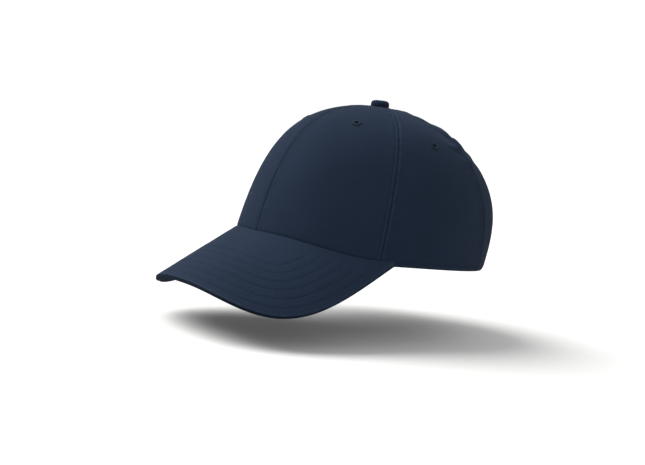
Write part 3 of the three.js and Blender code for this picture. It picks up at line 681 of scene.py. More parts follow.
def shellPanel(place, side):
    first, last = panelSeams[place]
    width = math.radians(last[0] - first[0]) * panelFacts["flatRadius"]
    share = spacedByDistance(width, panelFacts["fineWidth"], panelFacts["fineColumn"], panelFacts["column"])
    middle = (first[0] + last[0]) / 2
    top = riseAtRadius((first[1] + last[1]) / 2, panelFacts["topHole"])
    rises, lengths = wallLengths(middle)
    hem = np.interp(panelFacts["hemRows"], lengths, rises)
    low = np.interp(np.arange(*panelFacts["lowRows"]), lengths, rises)
    if place == "back":
        arch = opening["top"] * np.sin(np.linspace(0.2, math.pi / 2, 40))
        low = low[low < arch[0]]
        above = np.linspace(opening["top"], top, 75)[1:]
        rise = np.concatenate([hem, low, arch, above])
    else:
        start = lengths[np.searchsorted(rises, low[-1])]
        length = np.arange(start, np.interp(top, rises, lengths), panelFacts["row"])
        rise = np.concatenate([hem, low, np.interp(length[1:], lengths, rises), [top]])
    rise = rise[:, None]
    radius = planRadius(middle, rise)
    ease = np.degrees(panelFacts["seamEase"] / radius)
    start = seamAngle(first, rise) + ease
    end = seamAngle(last, rise) - ease
    if place == "back":
        end = np.where(rise < opening["top"], np.minimum(180 - openingEdge(rise), end), end)
    angle = side * (start + (end - start) * share)
    rise = np.broadcast_to(rise, angle.shape)
    relieved = shellRelief(angle, rise)
    foot = crownSkin(angle, np.zeros_like(rise))
    up = np.linalg.norm(crownSkin(angle, rise) - foot, axis=-1)
    roll = (1 - rounded(1 - up / panelFacts["hemRoll"])) * crown["cloth"] * 0.45
    outer = crownPoint(angle, rise, roll - relieved)
    inner = crownPoint(angle, rise, crown["cloth"] - roll - relieved)
    uv = flatPlace(angle, rise, side * middle)
    wear = 0.75 * (1 - smooth(*panelFacts["foldWear"], up))
    wear += 0.7 * bell(seamDistances(angle, rise).min(-1) - 0.0017, 0.0009)
    at, facing = siteOf(place, side)  # the eyelet's hole
    centres = (outer[:-1, :-1] + outer[1:, 1:]) / 2
    keep = np.linalg.norm(centres - at, axis=-1) > panelFacts["eyeletCut"]
    count = np.zeros(angle.shape)
    for rows, columns in ((slice(0, -1), slice(0, -1)), (slice(1, None), slice(0, -1))):
        count[rows, columns] += keep
        count[rows, slice(1, None)] += keep
    rim = (count > 0) & (count < 4)
    rim[[0, -1]] = False
    rim[:, [0, -1]] = False
    for skin in (outer, inner):
        away = skin[rim] - at
        deep = (away @ facing[2])[:, None] * facing[2]
        skin[rim] = at + deep + unit(away - deep) * panelFacts["eyeletCut"]
    node = f"{place}_panel_{sideWord(side)}"
    facts = {"slot": "shell_cloth", "material": "twill"}
    piece = sheetPiece(f"{node}_cloth", outer, inner, uv, keep, wear, **facts)
    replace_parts(piece, node)


for side in (1, -1):
    for place in panelSeams:
        shellPanel(place, side)
print("six crown panels sewn")


# stitches: small bent threads whose ends sink into the cloth
stitch = {
    "pitch": 0.0031,
    "length": 0.0025,
    "radius": 0.00021,
    "proud": 0.00014,
    "sink": 0.0002,
    "stations": (0, 0.1, 0.32, 0.68, 0.9, 1),
    "taper": (0.45, 0.85, 1, 1, 0.85, 0.45),
    "sides": 6,
    "fromButton": 0.0078,
    "aboveVisor": 0.0055,
    "aboveHem": 0.001,
    "pastVisor": 1,  # degrees
    "beforeOpening": 3.4,
}


def stitchRow(path, normals, pitch=stitch["pitch"], length=stitch["length"], radius=stitch["radius"]):
    far = travelled(path)
    count = int(far[-1] // pitch)
    start = (np.arange(count) + 0.5) * pitch - length / 2 + (far[-1] - count * pitch) / 2
    t = np.array(stitch["stations"])
    along = start[:, None] + t * length

    def pick(values):
        return np.stack([np.interp(along, far, values[:, k]) for k in range(3)], -1)

    normal = unit(pick(normals))
    tangent = unit(pick(np.gradient(path, axis=0)))
    bend = np.abs(2 * t - 1) ** 3
    centre = pick(path) + normal * (stitch["proud"] * (1 - bend) - stitch["sink"] * bend)[:, None]
    sideways = np.cross(tangent, normal)
    turn = np.arange(stitch["sides"]) / stitch["sides"] * 2 * math.pi
    size = (radius * np.array(stitch["taper"]))[:, None, None]
    spread = np.cos(turn)[:, None] * sideways[..., None, :] + np.sin(turn)[:, None] * normal[..., None, :]
    rings = centre[..., None, :] + size * spread
    return rings, laidFlat(along[..., None], turn * radius)


def stitchPiece(name, rows, body="crown"):
    rings = np.concatenate([row[0] for row in rows])
    flat = np.concatenate([row[1] for row in rows])
    count, stations, sides = rings.shape[:3]
    index = np.arange(count * stations * sides).reshape(count, stations, sides)
    wrap = np.concatenate([index, index[..., :1]], -1)
    corners = [wrap[:, :-1, :-1], wrap[:, :-1, 1:], wrap[:, 1:, 1:], wrap[:, 1:, :-1]]
    faces = np.stack(corners, -1).reshape(-1, 4).tolist()
    faces += index[:, 0, ::-1].tolist() + index[:, -1].tolist()
    newPiece(name, rings, faces, flat, "thread", "thread", body)


def crownRow(angle, rise):
    return shellPoint(angle, rise), crownFrame(angle, rise)[2]


def besideSeam(seam, side, offset, low, samples=260):
    rise = np.linspace(low, riseAtRadius(seam[1], stitch["fromButton"]), samples)
    angle = side * seamAngle(seam, rise)
    return crownRow(angle + np.degrees(offset / planRadius(angle, rise)), rise)


def seamStitches():
    lows = [riseAt(seam[0], stitch["aboveVisor"]) for seam in seams[:2]]
    lows += [riseAt(seams[2][0], stitch["aboveHem"]), opening["top"] * 1.1]
    rows = []
    for number, seam in enumerate(seams[:4]):
        for side in (1,) if number in (0, 3) else (1, -1):
            for offset in (relief["stitchFromSeam"], -relief["stitchFromSeam"]):
                rows.append(stitchRow(*besideSeam(seam, side, offset, lows[number])))
    stitchPiece("crown_topstitching", rows)


def hemStitches():
    rows = []
    for side in (1, -1):
        last = 180 - opening["angle"] - stitch["beforeOpening"]
        angle = np.linspace(visor["angle"] + stitch["pastVisor"], last, 220)
        rise = np.array([riseAt(a, relief["hemStitch"]) for a in angle])
        rows.append(stitchRow(*crownRow(side * angle, rise)))
    stitchPiece("hem_stitching", rows)


seamStitches()
hemStitches()
print("crown stitched")


# eyelets, worked over with thread
eyeletFacts = {
    "hole": 0.0013,
    "radius": 0.0036,
    "neck": 0.0026,
    "proud": 0.0001,
    "lip": 0.0005,
    "behind": 0.00065,
    "behindLip": 0.0004,
    "stiffened": 0.0016,  # the front panels' cloth with the stiffener behind it
    "threads": 34,
    "ridge": 0.00008,
}


def eyeletPiece(place, side):
    at, (along, up, out) = siteOf(place, side)
    layers = eyeletFacts["stiffened"] if place == "front" else crown["cloth"]
    inside = -layers - eyeletFacts["behind"]
    middle = (eyeletFacts["hole"] + eyeletFacts["radius"]) / 2
    half = (eyeletFacts["radius"] - eyeletFacts["hole"]) / 2
    t = np.linspace(0, math.pi, 11)
    radius = np.concatenate([middle + half * np.cos(t), middle - half * np.cos(t), [eyeletFacts["neck"]] * 2])
    swell = np.sin(t) ** 0.8
    front = eyeletFacts["proud"] + eyeletFacts["lip"] * swell
    back = inside - eyeletFacts["behindLip"] * swell
    height = np.concatenate([front, back, [inside, eyeletFacts["proud"]]])
    ridged = np.concatenate([0.25 + 0.75 * swell, 0.25 + 0.75 * swell, [0, 0]])
    lift = np.concatenate([np.ones(t.size), -np.ones(t.size), [0, 0]])
    sides = eyeletFacts["threads"] * 5
    turn = np.arange(sides)[:, None] / sides * 2 * math.pi
    wave = np.abs(np.cos(turn * eyeletFacts["threads"] / 2)) ** 0.7 - 0.6
    wave = wave * (1 + 0.25 * np.sin(turn * 7 + 3 * side))
    push = eyeletFacts["ridge"] * wave * ridged
    r = radius + push * np.where(lift == 0, 0, np.sign(radius - middle)) * 0.8
    z = height + push * lift
    x, y = r * np.cos(turn), r * np.sin(turn)
    rings = at + x[..., None] * along + y[..., None] * up + z[..., None] * out
    flat = laidFlat(turn * 0.0008, r)
    node = f"eyelet_{place}_{sideWord(side)}"
    # the eyelet is worked in the darkened thread, partly self-colour and partly painted shade
    facts = {"slot": "thread", "material": "shadedEyeletThread"}
    piece = ringPiece(f"{node}_stitched", rings, flat, closed=True, **facts)
    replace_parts(piece, node)


for side in (1, -1):
    for place in eyeletSites:
        eyeletPiece(place, side)
print("eyelets worked")


# covered button
buttonFacts = {
    "radius": 0.0072,
    "rise": 0.0043,
    "cloth": 0.0004,
    "square": 3.4,
    "seat": 0.0005,
    "gathers": 12,
    "gatherDepth": 0.00011,
    "skirt": 0.0009,
    "skirtOutside": (0.0049, 0.0062, 0.0067, 0.007),
    "skirtInside": (0.0049, 0.0056, 0.0061, 0.0064),
    "middle": 0.0004,  # a needle's hole at the centre of the top
}


def buttonPiece():
    t = np.linspace(0, math.pi / 2, 22)
    cloth, skirt = buttonFacts["cloth"], buttonFacts["skirt"]
    low = cloth + 0.0003
    power = 2 / buttonFacts["square"]
    radius = buttonFacts["radius"] * np.cos(t) ** power
    height = low + buttonFacts["rise"] * np.sin(t) ** power - 0.00022 * bell(radius, 0.0035)
    outerR = np.concatenate([buttonFacts["skirtOutside"], radius[:-1], [buttonFacts["middle"]]])
    outerZ = np.concatenate([[0.0, -skirt, -skirt, 0.0001 - skirt], height])
    innerR = np.maximum(outerR - cloth, buttonFacts["middle"])
    innerR[:4] = buttonFacts["skirtInside"]
    domed = np.sin(np.clip(outerZ / 0.005, 0, 1) * math.pi / 2)
    innerZ = np.where(outerZ < low, cloth, outerZ - cloth * domed)
    sides = 108
    turn = (np.arange(sides) / sides * 2 * math.pi)[:, None]
    z = np.concatenate([outerZ, innerZ[::-1]])
    r = np.concatenate([outerR, innerR[::-1]])
    gather = bell(z - 0.0007, 0.0013) * np.cos(turn * buttonFacts["gathers"] + 1.5 * np.sin(turn * 2))
    crease = bell(r - 0.0052, 0.0012) * (z > 0.004) * 0.00006 * np.cos(turn * 5 + 1)
    r = r + buttonFacts["gatherDepth"] * gather * (r > 0.003)
    z = np.broadcast_to(z, r.shape) + crease
    rings = np.stack([r * np.cos(turn), r * np.sin(turn), z], -1)
    rings += [0, crown["buttonSetback"], crown["height"] + buttonFacts["seat"]]
    flat = rings[..., :2].copy()
    flat[..., 1] += rings[..., 2]
    piece = ringPiece("button_cover_cloth", rings, flat, closed=True, slot="shell_cloth", material="twill")
    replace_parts(piece, "button_cover")


buttonPiece()
print("button covered")


# visor: it is curved one way only, so its cloth coordinates are true distances
visorFacts = {
    "columns": 260,
    "rows": 170,
    "cloth": 0.0006,
    "board": 0.0018,
    "edgeRoll": 0.0009,
    "rootRoll": 0.0014,  # leaves the dark crease where the visor meets the crown
    "stitchRows": (0.0062, 0.0134, 0.0206, 0.0278, 0.035, 0.0422),
    "groove": 0.00013,
    "grooveWidth": 0.0007,
    "swell": 0.00006,
    "pipingProud": 0.0008,
    "pipingOut": 0.0012,
    "pipingIn": 0.0014,
    "arch": 0.0908,
    "archSteps": 900,
    "stitchPitch": 0.0033,
    "stitchLength": 0.0027,
    "stitchEnd": 0.0022,
    "edgeWear": (0.0002, 0.0026),
    "topTuck": 0.0007,  # the covers reach into the seam at the crown
    "underTuck": 0.0004,
    "pipingSpan": 0.985,
}
archX = np.linspace(0, visorFacts["arch"], visorFacts["archSteps"])
archCos = math.cos(math.radians(visor["slope"]))
archSin = math.sin(math.radians(visor["slope"]))
archArc = np.concatenate([[0], np.cumsum(np.hypot(np.diff(archX), np.diff(archFall(archX)) * archCos))])


def visorRoot(across, gap=0.0006):
    plan = lowerEdge(across * visor["angle"])[..., :2]
    reach = np.linalg.norm(plan, axis=-1, keepdims=True)
    return plan * (reach + gap) / reach


def visorEdge(across):
    turn = across * math.pi / 2
    x = visor["halfSpan"] * np.sign(turn) * np.abs(np.sin(turn)) ** visor["spanPower"]
    ends = -crown["halfLength"] * math.cos(math.radians(visor["angle"])) - visor["endWidth"]
    y = ends - (visor["reach"] - visor["endWidth"]) * np.abs(np.cos(turn)) ** visor["reachPower"]
    return np.stack([x, y], -1)


def visorPoint(across, share, depth, gap=0.0006):
    across, share, depth = np.broadcast_arrays(across, share, depth)
    root, edge = visorRoot(across, gap), visorEdge(across)
    plan = root + (edge - root) * share[..., None]
    x, y = plan[..., 0], plan[..., 1]
    step = 1e-5
    tiltX = (visorTop(x + step, y) - visorTop(x - step, y)) / (2 * step)
    tiltY = np.full_like(x, math.tan(math.radians(visor["slope"])))
    normal = unit(np.stack([-tiltX, -tiltY, np.ones_like(x)], -1))
    square = np.clip(share, 0, 1)[..., None]
    lean = normal * square
    lean[..., 2] += 1 - square[..., 0]
    return np.stack([x, y, visorTop(x, y)], -1) - lean * depth[..., None], normal


def visorFlat(plan):
    x, forward = plan[..., 0], -crown["halfLength"] - plan[..., 1]
    across = np.sign(x) * np.interp(np.abs(x), archX, archArc)
    return np.stack([across, forward / archCos + archFall(x) * archSin], -1)


def visorGrid(columns, rows):
    across = np.sin(np.linspace(-0.5, 0.5, columns) * math.pi)
    share = np.concatenate([np.linspace(0, 0.986, rows), np.linspace(0.986, 1, 10)[1:]])[:, None]
    root, edge = visorRoot(across), visorEdge(across)
    flat = visorFlat(root + (edge - root) * share[..., None])
    outline = visorFlat(visorEdge(np.sin(np.linspace(-0.5, 0.5, visorFacts["archSteps"]) * math.pi)))
    distance = np.empty(flat.shape[:2])
    for k, row in enumerate(flat):
        distance[k] = np.linalg.norm(row[:, None] - outline, axis=-1).min(-1)
    toRoot = share * np.linalg.norm(edge - root, axis=-1)
    across, share = np.broadcast_arrays(across, share)
    return across, share, flat, distance, toRoot


def visorRelief(distance, flat, seed):
    height = np.zeros_like(distance)
    inside = np.ones_like(distance)
    for row in visorFacts["stitchRows"]:
        height -= visorFacts["groove"] * bell(distance - row, visorFacts["grooveWidth"])
        inside -= bell(distance - row, 2 * visorFacts["grooveWidth"])
    held = (distance < visorFacts["stitchRows"][-1] + 0.003) * smooth(0.001, 0.004, distance)
    height += visorFacts["swell"] * np.clip(inside, 0, 1) * held
    place = np.concatenate([flat, np.zeros((*flat.shape[:2], 1))], -1)
    height += 0.00016 * uneven(place, 0.022, seed) + 0.00005 * uneven(place, 0.004, seed + 5)
    return height


def visorCover(name, node, under):
    across, share, flat, distance, toRoot = visorGrid(visorFacts["columns"], visorFacts["rows"])
    height = visorRelief(distance, flat, 31.0 if under else 17.0)
    for reach, where in ((visorFacts["edgeRoll"], distance), (visorFacts["rootRoll"], toRoot)):
        height -= reach * 0.5 * (1 - rounded(1 - where / reach))
    wear = 0.8 * (1 - smooth(*visorFacts["edgeWear"], distance))
    if under:
        face = visor["thickness"] + np.maximum(height, -0.0003) * 0.7
        far = visor["thickness"] - visorFacts["cloth"] + np.clip(height, -0.0002, 0)
    else:
        face = -height
        far = np.minimum(visorFacts["cloth"] - height, visorFacts["cloth"] + 0.0003)
    tuck = visorFacts["underTuck"] if under else visorFacts["topTuck"]
    outer = visorPoint(across, share, face, -tuck)[0]
    inner = visorPoint(across, share, far, -tuck)[0]
    piece = sheetPiece(name, outer, inner, flat, wear=wear, slot="shell_cloth", material="twill")
    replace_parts(piece, node)
    return across, share, distance, face, -tuck


def visorRows(grid, down):
    across, share, distance, face, gap = grid
    rows = []
    for far in visorFacts["stitchRows"]:
        places = [k for k in range(across.shape[1]) if distance[0, k] > far + visorFacts["stitchEnd"]]
        at = [np.interp(far, distance[::-1, k], share[::-1, k]) for k in places]
        deep = [np.interp(s, share[:, k], face[:, k]) for s, k in zip(at, places)]
        points, normals = visorPoint(across[0, places], np.array(at), np.array(deep), gap)
        out = -normals if down else normals
        rows.append(stitchRow(points, out, visorFacts["stitchPitch"], visorFacts["stitchLength"]))
    return rows


def visorPiping():
    across = visorFacts["pipingSpan"] * np.sin(np.linspace(-0.5, 0.5, 420) * math.pi)
    width = np.linalg.norm(visorRoot(across) - visorEdge(across), axis=-1)
    turn = np.linspace(0, 2 * math.pi, 20, endpoint=False)
    half = (visorFacts["board"] + 0.0001) / 2
    reach = np.where(np.cos(turn) > 0, visorFacts["pipingOut"], visorFacts["pipingIn"]) * np.cos(turn)
    proud = visorFacts["pipingProud"] - visorFacts["pipingOut"] + reach
    share = 1 + proud / width[:, None]
    deep = visor["thickness"] / 2 - half * np.sign(np.sin(turn)) * np.abs(np.sin(turn)) ** 0.8
    points = visorPoint(across[:, None], share, np.broadcast_to(deep, share.shape))[0]
    flat = laidFlat(travelled(points[:, 0])[:, None], turn * 0.001)
    facts = {"slot": "shell_cloth", "material": "darkTwill"}
    piece = ringPiece("visor_edge_piping", points, flat, **facts)
    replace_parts(piece, "visor_sandwich_piping")


topGrid = visorCover("visor_top_cloth", "visor_top_cover", False)
underGrid = visorCover("visor_under_cloth", "visor_under_cover", True)
stitchPiece("visor_top_stitching", visorRows(topGrid, False))
stitchPiece("visor_under_stitching", visorRows(underGrid, True))
visorPiping()
print("visor covered and stitched")


# stiffeners, seam tapes and the opening's binding
insideFacts = {
    "stiffenerDepth": 0.0011,
    "stiffenerThickness": 0.0005,
    "stiffenerMargin": 0.0015,
    "stiffenerFoot": 0.0065,
    "stiffenerRise": 0.118,
    "tapeWidth": 0.01,
    "tapeDepth": 0.0024,
    "tapeStep": 0.00085,
    "tapeThickness": 0.0004,
    "lift": 0.001,
    "tapeFoot": 0.0105,
    "tapeTop": 0.006,  # from the button's middle
    "tapeStitch": 0.72,  # share of its half width
    "eyeletCut": 0.0034,
}
binding = {
    "cloth": 0.0004,
    "outside": 0.0003,  # clear of the panels' outer face
    "inside": 0.0008,
    "fold": -0.0002,
    "stitch": 0.0036,
    "wave": 0.00018,
    "dip": 0.00018,
}


def stiffenerPiece(side):
    share = np.linspace(0, 1, 46)
    low, high = (riseAt(0, insideFacts[end]) for end in ("stiffenerFoot", "stiffenerRise"))
    rise = np.linspace(low, high, 90)[:, None]
    last = seamAngle(crown["frontSeam"], rise)
    ease = np.degrees(insideFacts["stiffenerMargin"] / planRadius(last / 2, rise))
    angle = side * (ease + (last - 2 * ease) * share)
    rise = np.broadcast_to(rise, angle.shape)
    drift = np.minimum(shellDrift(angle, rise, crownSkin(angle, rise)), 0)
    outer = crownPoint(angle, rise, insideFacts["stiffenerDepth"] - drift)
    deep = insideFacts["stiffenerDepth"] + insideFacts["stiffenerThickness"]
    inner = crownPoint(angle, rise, deep - drift)
    middle = (outer[:-1, :-1] + outer[1:, 1:]) / 2
    keep = np.linalg.norm(middle - siteOf("front", side)[0], axis=-1) > insideFacts["eyeletCut"]
    node = f"front_stiffener_{sideWord(side)}"
    facts = {"slot": "stiffener", "material": "buckram"}
    piece = sheetPiece(f"{node}_buckram", outer, inner, flatPlace(angle, rise, 0), keep, **facts)
    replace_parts(piece, node)


def seamLine(seam, side, foot, steps=90):
    top = riseAtRadius(seam[1], insideFacts["tapeTop"])
    rise = np.linspace(riseAt(seam[0], foot), top, steps)
    angle = side * seamAngle(seam, rise)
    drift = shellDrift(angle, rise, crownSkin(angle, rise))
    return crownPoint(angle, rise, -drift), crownFrame(angle, rise)[2]


def tapePiece(name, order, first, firstSide, second, secondSide, secondFoot):
    startAt, startOut = seamLine(first, firstSide, insideFacts["tapeFoot"])
    endAt, endOut = seamLine(second, secondSide, secondFoot)
    bridge = np.linspace(0, 1, 8)[1:-1, None]
    across = startAt[-1] + (endAt[-1] - startAt[-1]) * bridge
    acrossOut = unit(startOut[-1] + (endOut[-1] - startOut[-1]) * bridge)
    line = np.concatenate([startAt, across, endAt[::-1]])
    out = np.concatenate([startOut, acrossOut, endOut[::-1]])
    tangent = unit(np.gradient(line, axis=0))
    sideways = unit(np.cross(tangent, out))
    share = np.concatenate([[-1, -0.985, -0.95], np.linspace(-0.9, 0.9, 13), [0.95, 0.985, 1]])
    edge = rounded((np.abs(share) - 0.94) / 0.06)
    deep = insideFacts["tapeDepth"] + order * insideFacts["tapeStep"]
    half = insideFacts["tapeThickness"] / 2
    base = line[:, None] + sideways[:, None] * (share * insideFacts["tapeWidth"] / 2)[:, None]
    wave = 0.00016 * uneven(base, 0.012, 51.0 + order) + 0.00006 * uneven(base, 0.0035, 5.0)
    wave = np.maximum(wave, -0.0001)
    dip = 0.0001 * bell(np.abs(share) - insideFacts["tapeStitch"], 0.09)
    near = base - out[:, None] * (deep + half * (1 - edge) + wave)[..., None]
    far = base - out[:, None] * (deep + half * (1 + edge) + wave - dip)[..., None]
    flat = laidFlat(share * insideFacts["tapeWidth"] / 2, travelled(line)[:, None])
    worn = np.broadcast_to(bell(np.abs(share) - 1, 0.06) * 0.5, base.shape[:2])
    facts = {"slot": "lining_cloth", "material": "lining", "wear": worn}
    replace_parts(sheetPiece(f"{name}_cloth", near, far, flat, **facts), name)
    columns = [np.argmin(np.abs(share - way * insideFacts["tapeStitch"])) for way in (-1, 1)]
    return [stitchRow(far[:, k], -out) for k in columns]


def bindingPiece():
    turn = np.linspace(0, math.pi, 130)
    rise = opening["top"] * np.sin(turn)
    angle = 180 - opening["angle"] * np.cos(turn)
    at, out = crownSkin(angle, rise), crownFrame(angle, rise)[2]
    at = at - out * hemTuck(angle, np.linalg.norm(at - lowerEdge(angle), axis=-1))[:, None]
    away = unit(np.cross(out, np.gradient(at, axis=0)))
    half, fold = binding["cloth"] / 2, binding["fold"]
    low = -binding["outside"] - half
    high = crown["cloth"] + binding["inside"] + half
    radius = (high - low) / 2
    section = foldedSection(np.linspace(opening["reach"], fold, 9), low, radius, half, 13)
    base = at[:, None] + away[:, None] * section[:, :1]
    outerLeg = (section[:, 0] > 0.001) * (section[:, 1] < 0)
    wave = binding["wave"] * uneven(at, 0.006, 71.0)[:, None] * outerLeg
    dip = binding["dip"] * bell(section[:, 0] - binding["stitch"], 0.0006)
    dip *= np.where(section[:, 1] < 0, -1, 1)
    rings = base - out[:, None] * (section[:, 1] - wave - dip)[..., None]
    flat = laidFlat(travelled(at)[:, None], travelled(section))
    worn = np.broadcast_to(bell(section[:, 0] - (fold - radius), 0.0008) * 0.8, rings.shape[:2])
    facts = {"slot": "shell_cloth", "material": "twill", "wear": worn}
    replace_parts(ringPiece("opening_binding_cloth", rings, flat, **facts), "opening_binding")
    line = at + away * binding["stitch"]
    faces = ((low - half + 0.0001, 1), (high + half - 0.0001, -1))
    return [stitchRow(line - out * deep, way * out) for deep, way in faces]


for side in (1, -1):
    stiffenerPiece(side)
tapeRows = tapePiece("seam_tape_centre", 0, seams[0], 1, seams[3], 1, opening["height"] + 0.002)
tapeRows += tapePiece("seam_tape_left_front", 1, seams[1], 1, seams[2], -1, insideFacts["tapeFoot"])
tapeRows += tapePiece("seam_tape_right_front", 2, seams[1], -1, seams[2], 1, insideFacts["tapeFoot"])
stitchPiece("seam_tape_stitching", tapeRows)
stitchPiece("binding_stitching", bindingPiece())
print("stiffeners, tapes and binding made")


# sweatband, its padding and the blank label
bandFacts = {
    "height": 0.033,
    "cloth": 0.0003,
    "padding": 0.0006,
    "gap": 0.00045,
    "depth": (0.00525, 0.00525, 0.0069),
    "clear": 0.033,
    "swell": 0.0007,
    "stitchFromFold": 0.0042,
    "stitchFromFoot": 0.0035,
    "sewnHeight": 0.0095,  # its foot is sewn down onto the shell's edge
    "sewnDepth": 0.0018,
    "sewnUntil": (118, 134),  # degrees, before the strap's room
    "ease": 0.35,  # how much its layers keep apart where it is sewn down
    "flatRadius": 0.095,
    "foamStopsBefore": 2.2,  # degrees
    "foamInset": 0.003,
    "grooveDepth": 0.00035,
    "grooveWidth": 0.0008,
}
labelFacts = {
    "angle": 138,
    "halfWidth": 0.013,
    "foot": 0.0022,
    "height": 0.02,
    "clear": 0.0007,
    "thickness": 0.00026,
    "curl": 0.0004,
    "ripple": 0.00022,
    "pitch": 0.0024,
    "length": 0.0019,
}
bandFacts["end"] = 180 - math.degrees(math.asin(bandFacts["clear"] / crown["halfWidth"]))
bandFacts["cover"] = 2 * bandFacts["gap"] + bandFacts["padding"] + bandFacts["cloth"]


def bandPoints(angle, height, inward):
    rise = np.empty(np.broadcast_shapes(angle.shape, height.shape))
    for k, turn in enumerate(angle[:, 0]):
        rises, lengths = wallLengths(turn)
        rise[k] = np.interp(insideFacts["lift"] + height[k], lengths, rises)
    angle = np.broadcast_to(angle, rise.shape)
    foot = 1 - smooth(0.0005, bandFacts["sewnHeight"], height)
    sewn = foot * (1 - smooth(*bandFacts["sewnUntil"], np.abs(angle)))
    deep = around(bandFacts["depth"], angle) + inward
    pressed = bandFacts["sewnDepth"] + inward * bandFacts["ease"]
    return crownPoint(angle, rise, deep + (pressed - deep) * sewn), crownFrame(angle, rise)[2]


def bandCover():
    half, cover, tall = bandFacts["cloth"] / 2, bandFacts["cover"], bandFacts["height"]
    section = foldedSection(np.linspace(tall, cover / 2, 30), half, cover / 2, half, 15)
    angle = np.linspace(-bandFacts["end"], bandFacts["end"], 300)[:, None]
    below, inward = section[:, 0], section[:, 1]
    headSide = inward > bandFacts["cover"] * 0.6
    fold, foot = bandFacts["stitchFromFold"], tall - bandFacts["stitchFromFoot"]
    puffed = np.sqrt(np.clip((below - fold) * (foot - below), 0, None)) / ((foot - fold) / 2)
    dip = bell(below - fold, bandFacts["grooveWidth"]) + bell(below - foot, bandFacts["grooveWidth"])
    spread = np.stack([np.radians(angle) * 0.1 + 0 * below, below + 0 * angle, 0 * angle + 0 * below], -1)
    rough = 0.0004 * uneven(spread, 0.011, 91.0) + 0.00012 * uneven(spread, 0.003, 9.0)
    swell = bandFacts["swell"] * puffed * (0.75 + 900 * rough)
    push = headSide * (swell - bandFacts["grooveDepth"] * dip + rough * puffed * 0.5)
    heights = np.broadcast_to(tall - below, push.shape)
    points, out = bandPoints(angle, heights, inward + push)
    flat = laidFlat(np.radians(angle) * bandFacts["flatRadius"], travelled(section))
    piece = ringPiece("sweatband_cloth", points, flat, slot="lining_cloth", material="lining")
    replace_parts(piece, "sweatband_cover")
    rows = []
    for place in (fold, foot):
        k = np.argmin(np.abs(below - place) + 9 * ~headSide + 9 * (inward < cover + 1.5 * half))
        rows.append(stitchRow(points[:, k], -out[:, k]))
    stitchPiece("sweatband_stitching", rows)


def bandPadding():
    reach = bandFacts["end"] - bandFacts["foamStopsBefore"]
    angle = np.linspace(-reach, reach, 200)[:, None]
    share = np.concatenate([[0, 0.02, 0.06], np.linspace(0.12, 0.88, 9), [0.94, 0.98, 1]])
    inset = bandFacts["foamInset"]
    height = np.broadcast_to(inset + (bandFacts["height"] - 2 * inset) * share, (200, share.size))
    edge = rounded((np.abs(share * 2 - 1) - 0.84) / 0.16)
    middle = bandFacts["cloth"] + bandFacts["gap"] + bandFacts["padding"] / 2
    half = bandFacts["padding"] / 2 * (0.15 + 0.85 * edge) * (1 + 0.1 * np.sin(np.radians(angle) * 37))
    outer = bandPoints(angle, height, middle - half)[0]
    inner = bandPoints(angle, height, middle + half)[0]
    flat = laidFlat(np.radians(angle) * bandFacts["flatRadius"], height)
    piece = sheetPiece("sweatband_foam", outer, inner, flat, slot="foam", material="foam")
    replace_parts(piece, "sweatband_padding")


def blankLabel():
    half = math.degrees(labelFacts["halfWidth"] / crown["halfWidth"])
    angle = np.linspace(labelFacts["angle"] - half, labelFacts["angle"] + half, 40)[:, None]
    share = np.broadcast_to(np.linspace(0, 1, 30), (40, 30))
    height = labelFacts["foot"] + labelFacts["height"] * share
    near = bandFacts["cover"] + bandFacts["cloth"] + labelFacts["clear"]
    near = near + labelFacts["curl"] * (1 - share) ** 2
    near = near + labelFacts["ripple"] * np.sin(np.radians(angle) * 24 + height * 160)
    outer, out = bandPoints(angle, height, near)
    inner = bandPoints(angle, height, near + labelFacts["thickness"])[0]
    flat = laidFlat(np.radians(angle) * bandFacts["flatRadius"], height)
    piece = sheetPiece("size_label_satin", outer, inner, flat, slot="label_cloth", material="satin")
    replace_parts(piece, "size_label")
    row = stitchRow(inner[:, -3], -out[:, -3], labelFacts["pitch"], labelFacts["length"])
    stitchPiece("label_stitching", [row])


bandCover()
bandPadding()
blankLabel()
print("sweatband and label made")


# the strap's closure lies on a cone about a vertical axis, so the long strap can slide round in it
strap = {
    "width": 0.019,
    "bottom": 0.003,
    "depth": 0.0042,
    "thickness": 0.001,
    "shortThickness": 0.0008,
    "angle": 26,
    "long": (-0.055, 0.056),
    "roll": 0.00045,
    "stitchInset": 0.0019,
    "gap": 0.0003,
    "foldAt": 0.0165,  # where the short strap turns back round the frame
    "crossbar": 0.001,
    "hidden": 0.014,
    "tipRound": 0.006,
}
strapStitch = {"pitch": 0.0027, "length": 0.0022, "radius": 0.00017}


def strapLine(angle, length):
    return crownPoint(np.array(float(angle)), np.array(riseAt(angle, length)), strap["depth"])


def strapCone():
    turn = 180 - strap["angle"]
    foot = strapLine(180, strap["bottom"])
    low = strapLine(turn, strap["bottom"])
    high = strapLine(turn, strap["bottom"] + strap["width"])
    normal = crownFrame(np.array(float(turn)), np.array(riseAt(turn, strap["bottom"])))[2]
    out = unit(normal * [1, 1, 0])
    slope = (high - low) @ out / (high[2] - low[2])
    low = low + out * slope * (foot[2] - low[2])
    span = foot[1] - low[1]
    radius = (low[0] ** 2 + span ** 2) / (2 * span)
    return foot, math.atan(slope), radius, foot[1] - radius


coneFoot, coneLean, coneRadius, coneAxis = strapCone()


def strapPoint(along, up, out):
    turn = along / coneRadius
    radius = coneRadius + up * math.sin(coneLean) + out * math.cos(coneLean)
    height = coneFoot[2] + up * math.cos(coneLean) - out * math.sin(coneLean)
    y = coneAxis + radius * np.cos(turn)
    return np.stack(np.broadcast_arrays(radius * np.sin(turn), y, height), -1)


def strapRow(along, up, face, way=1):
    points = strapPoint(along, up, way * face)
    normal = strapPoint(along, up, way * (face + 0.001)) - points
    return stitchRow(points, unit(normal), **strapStitch)


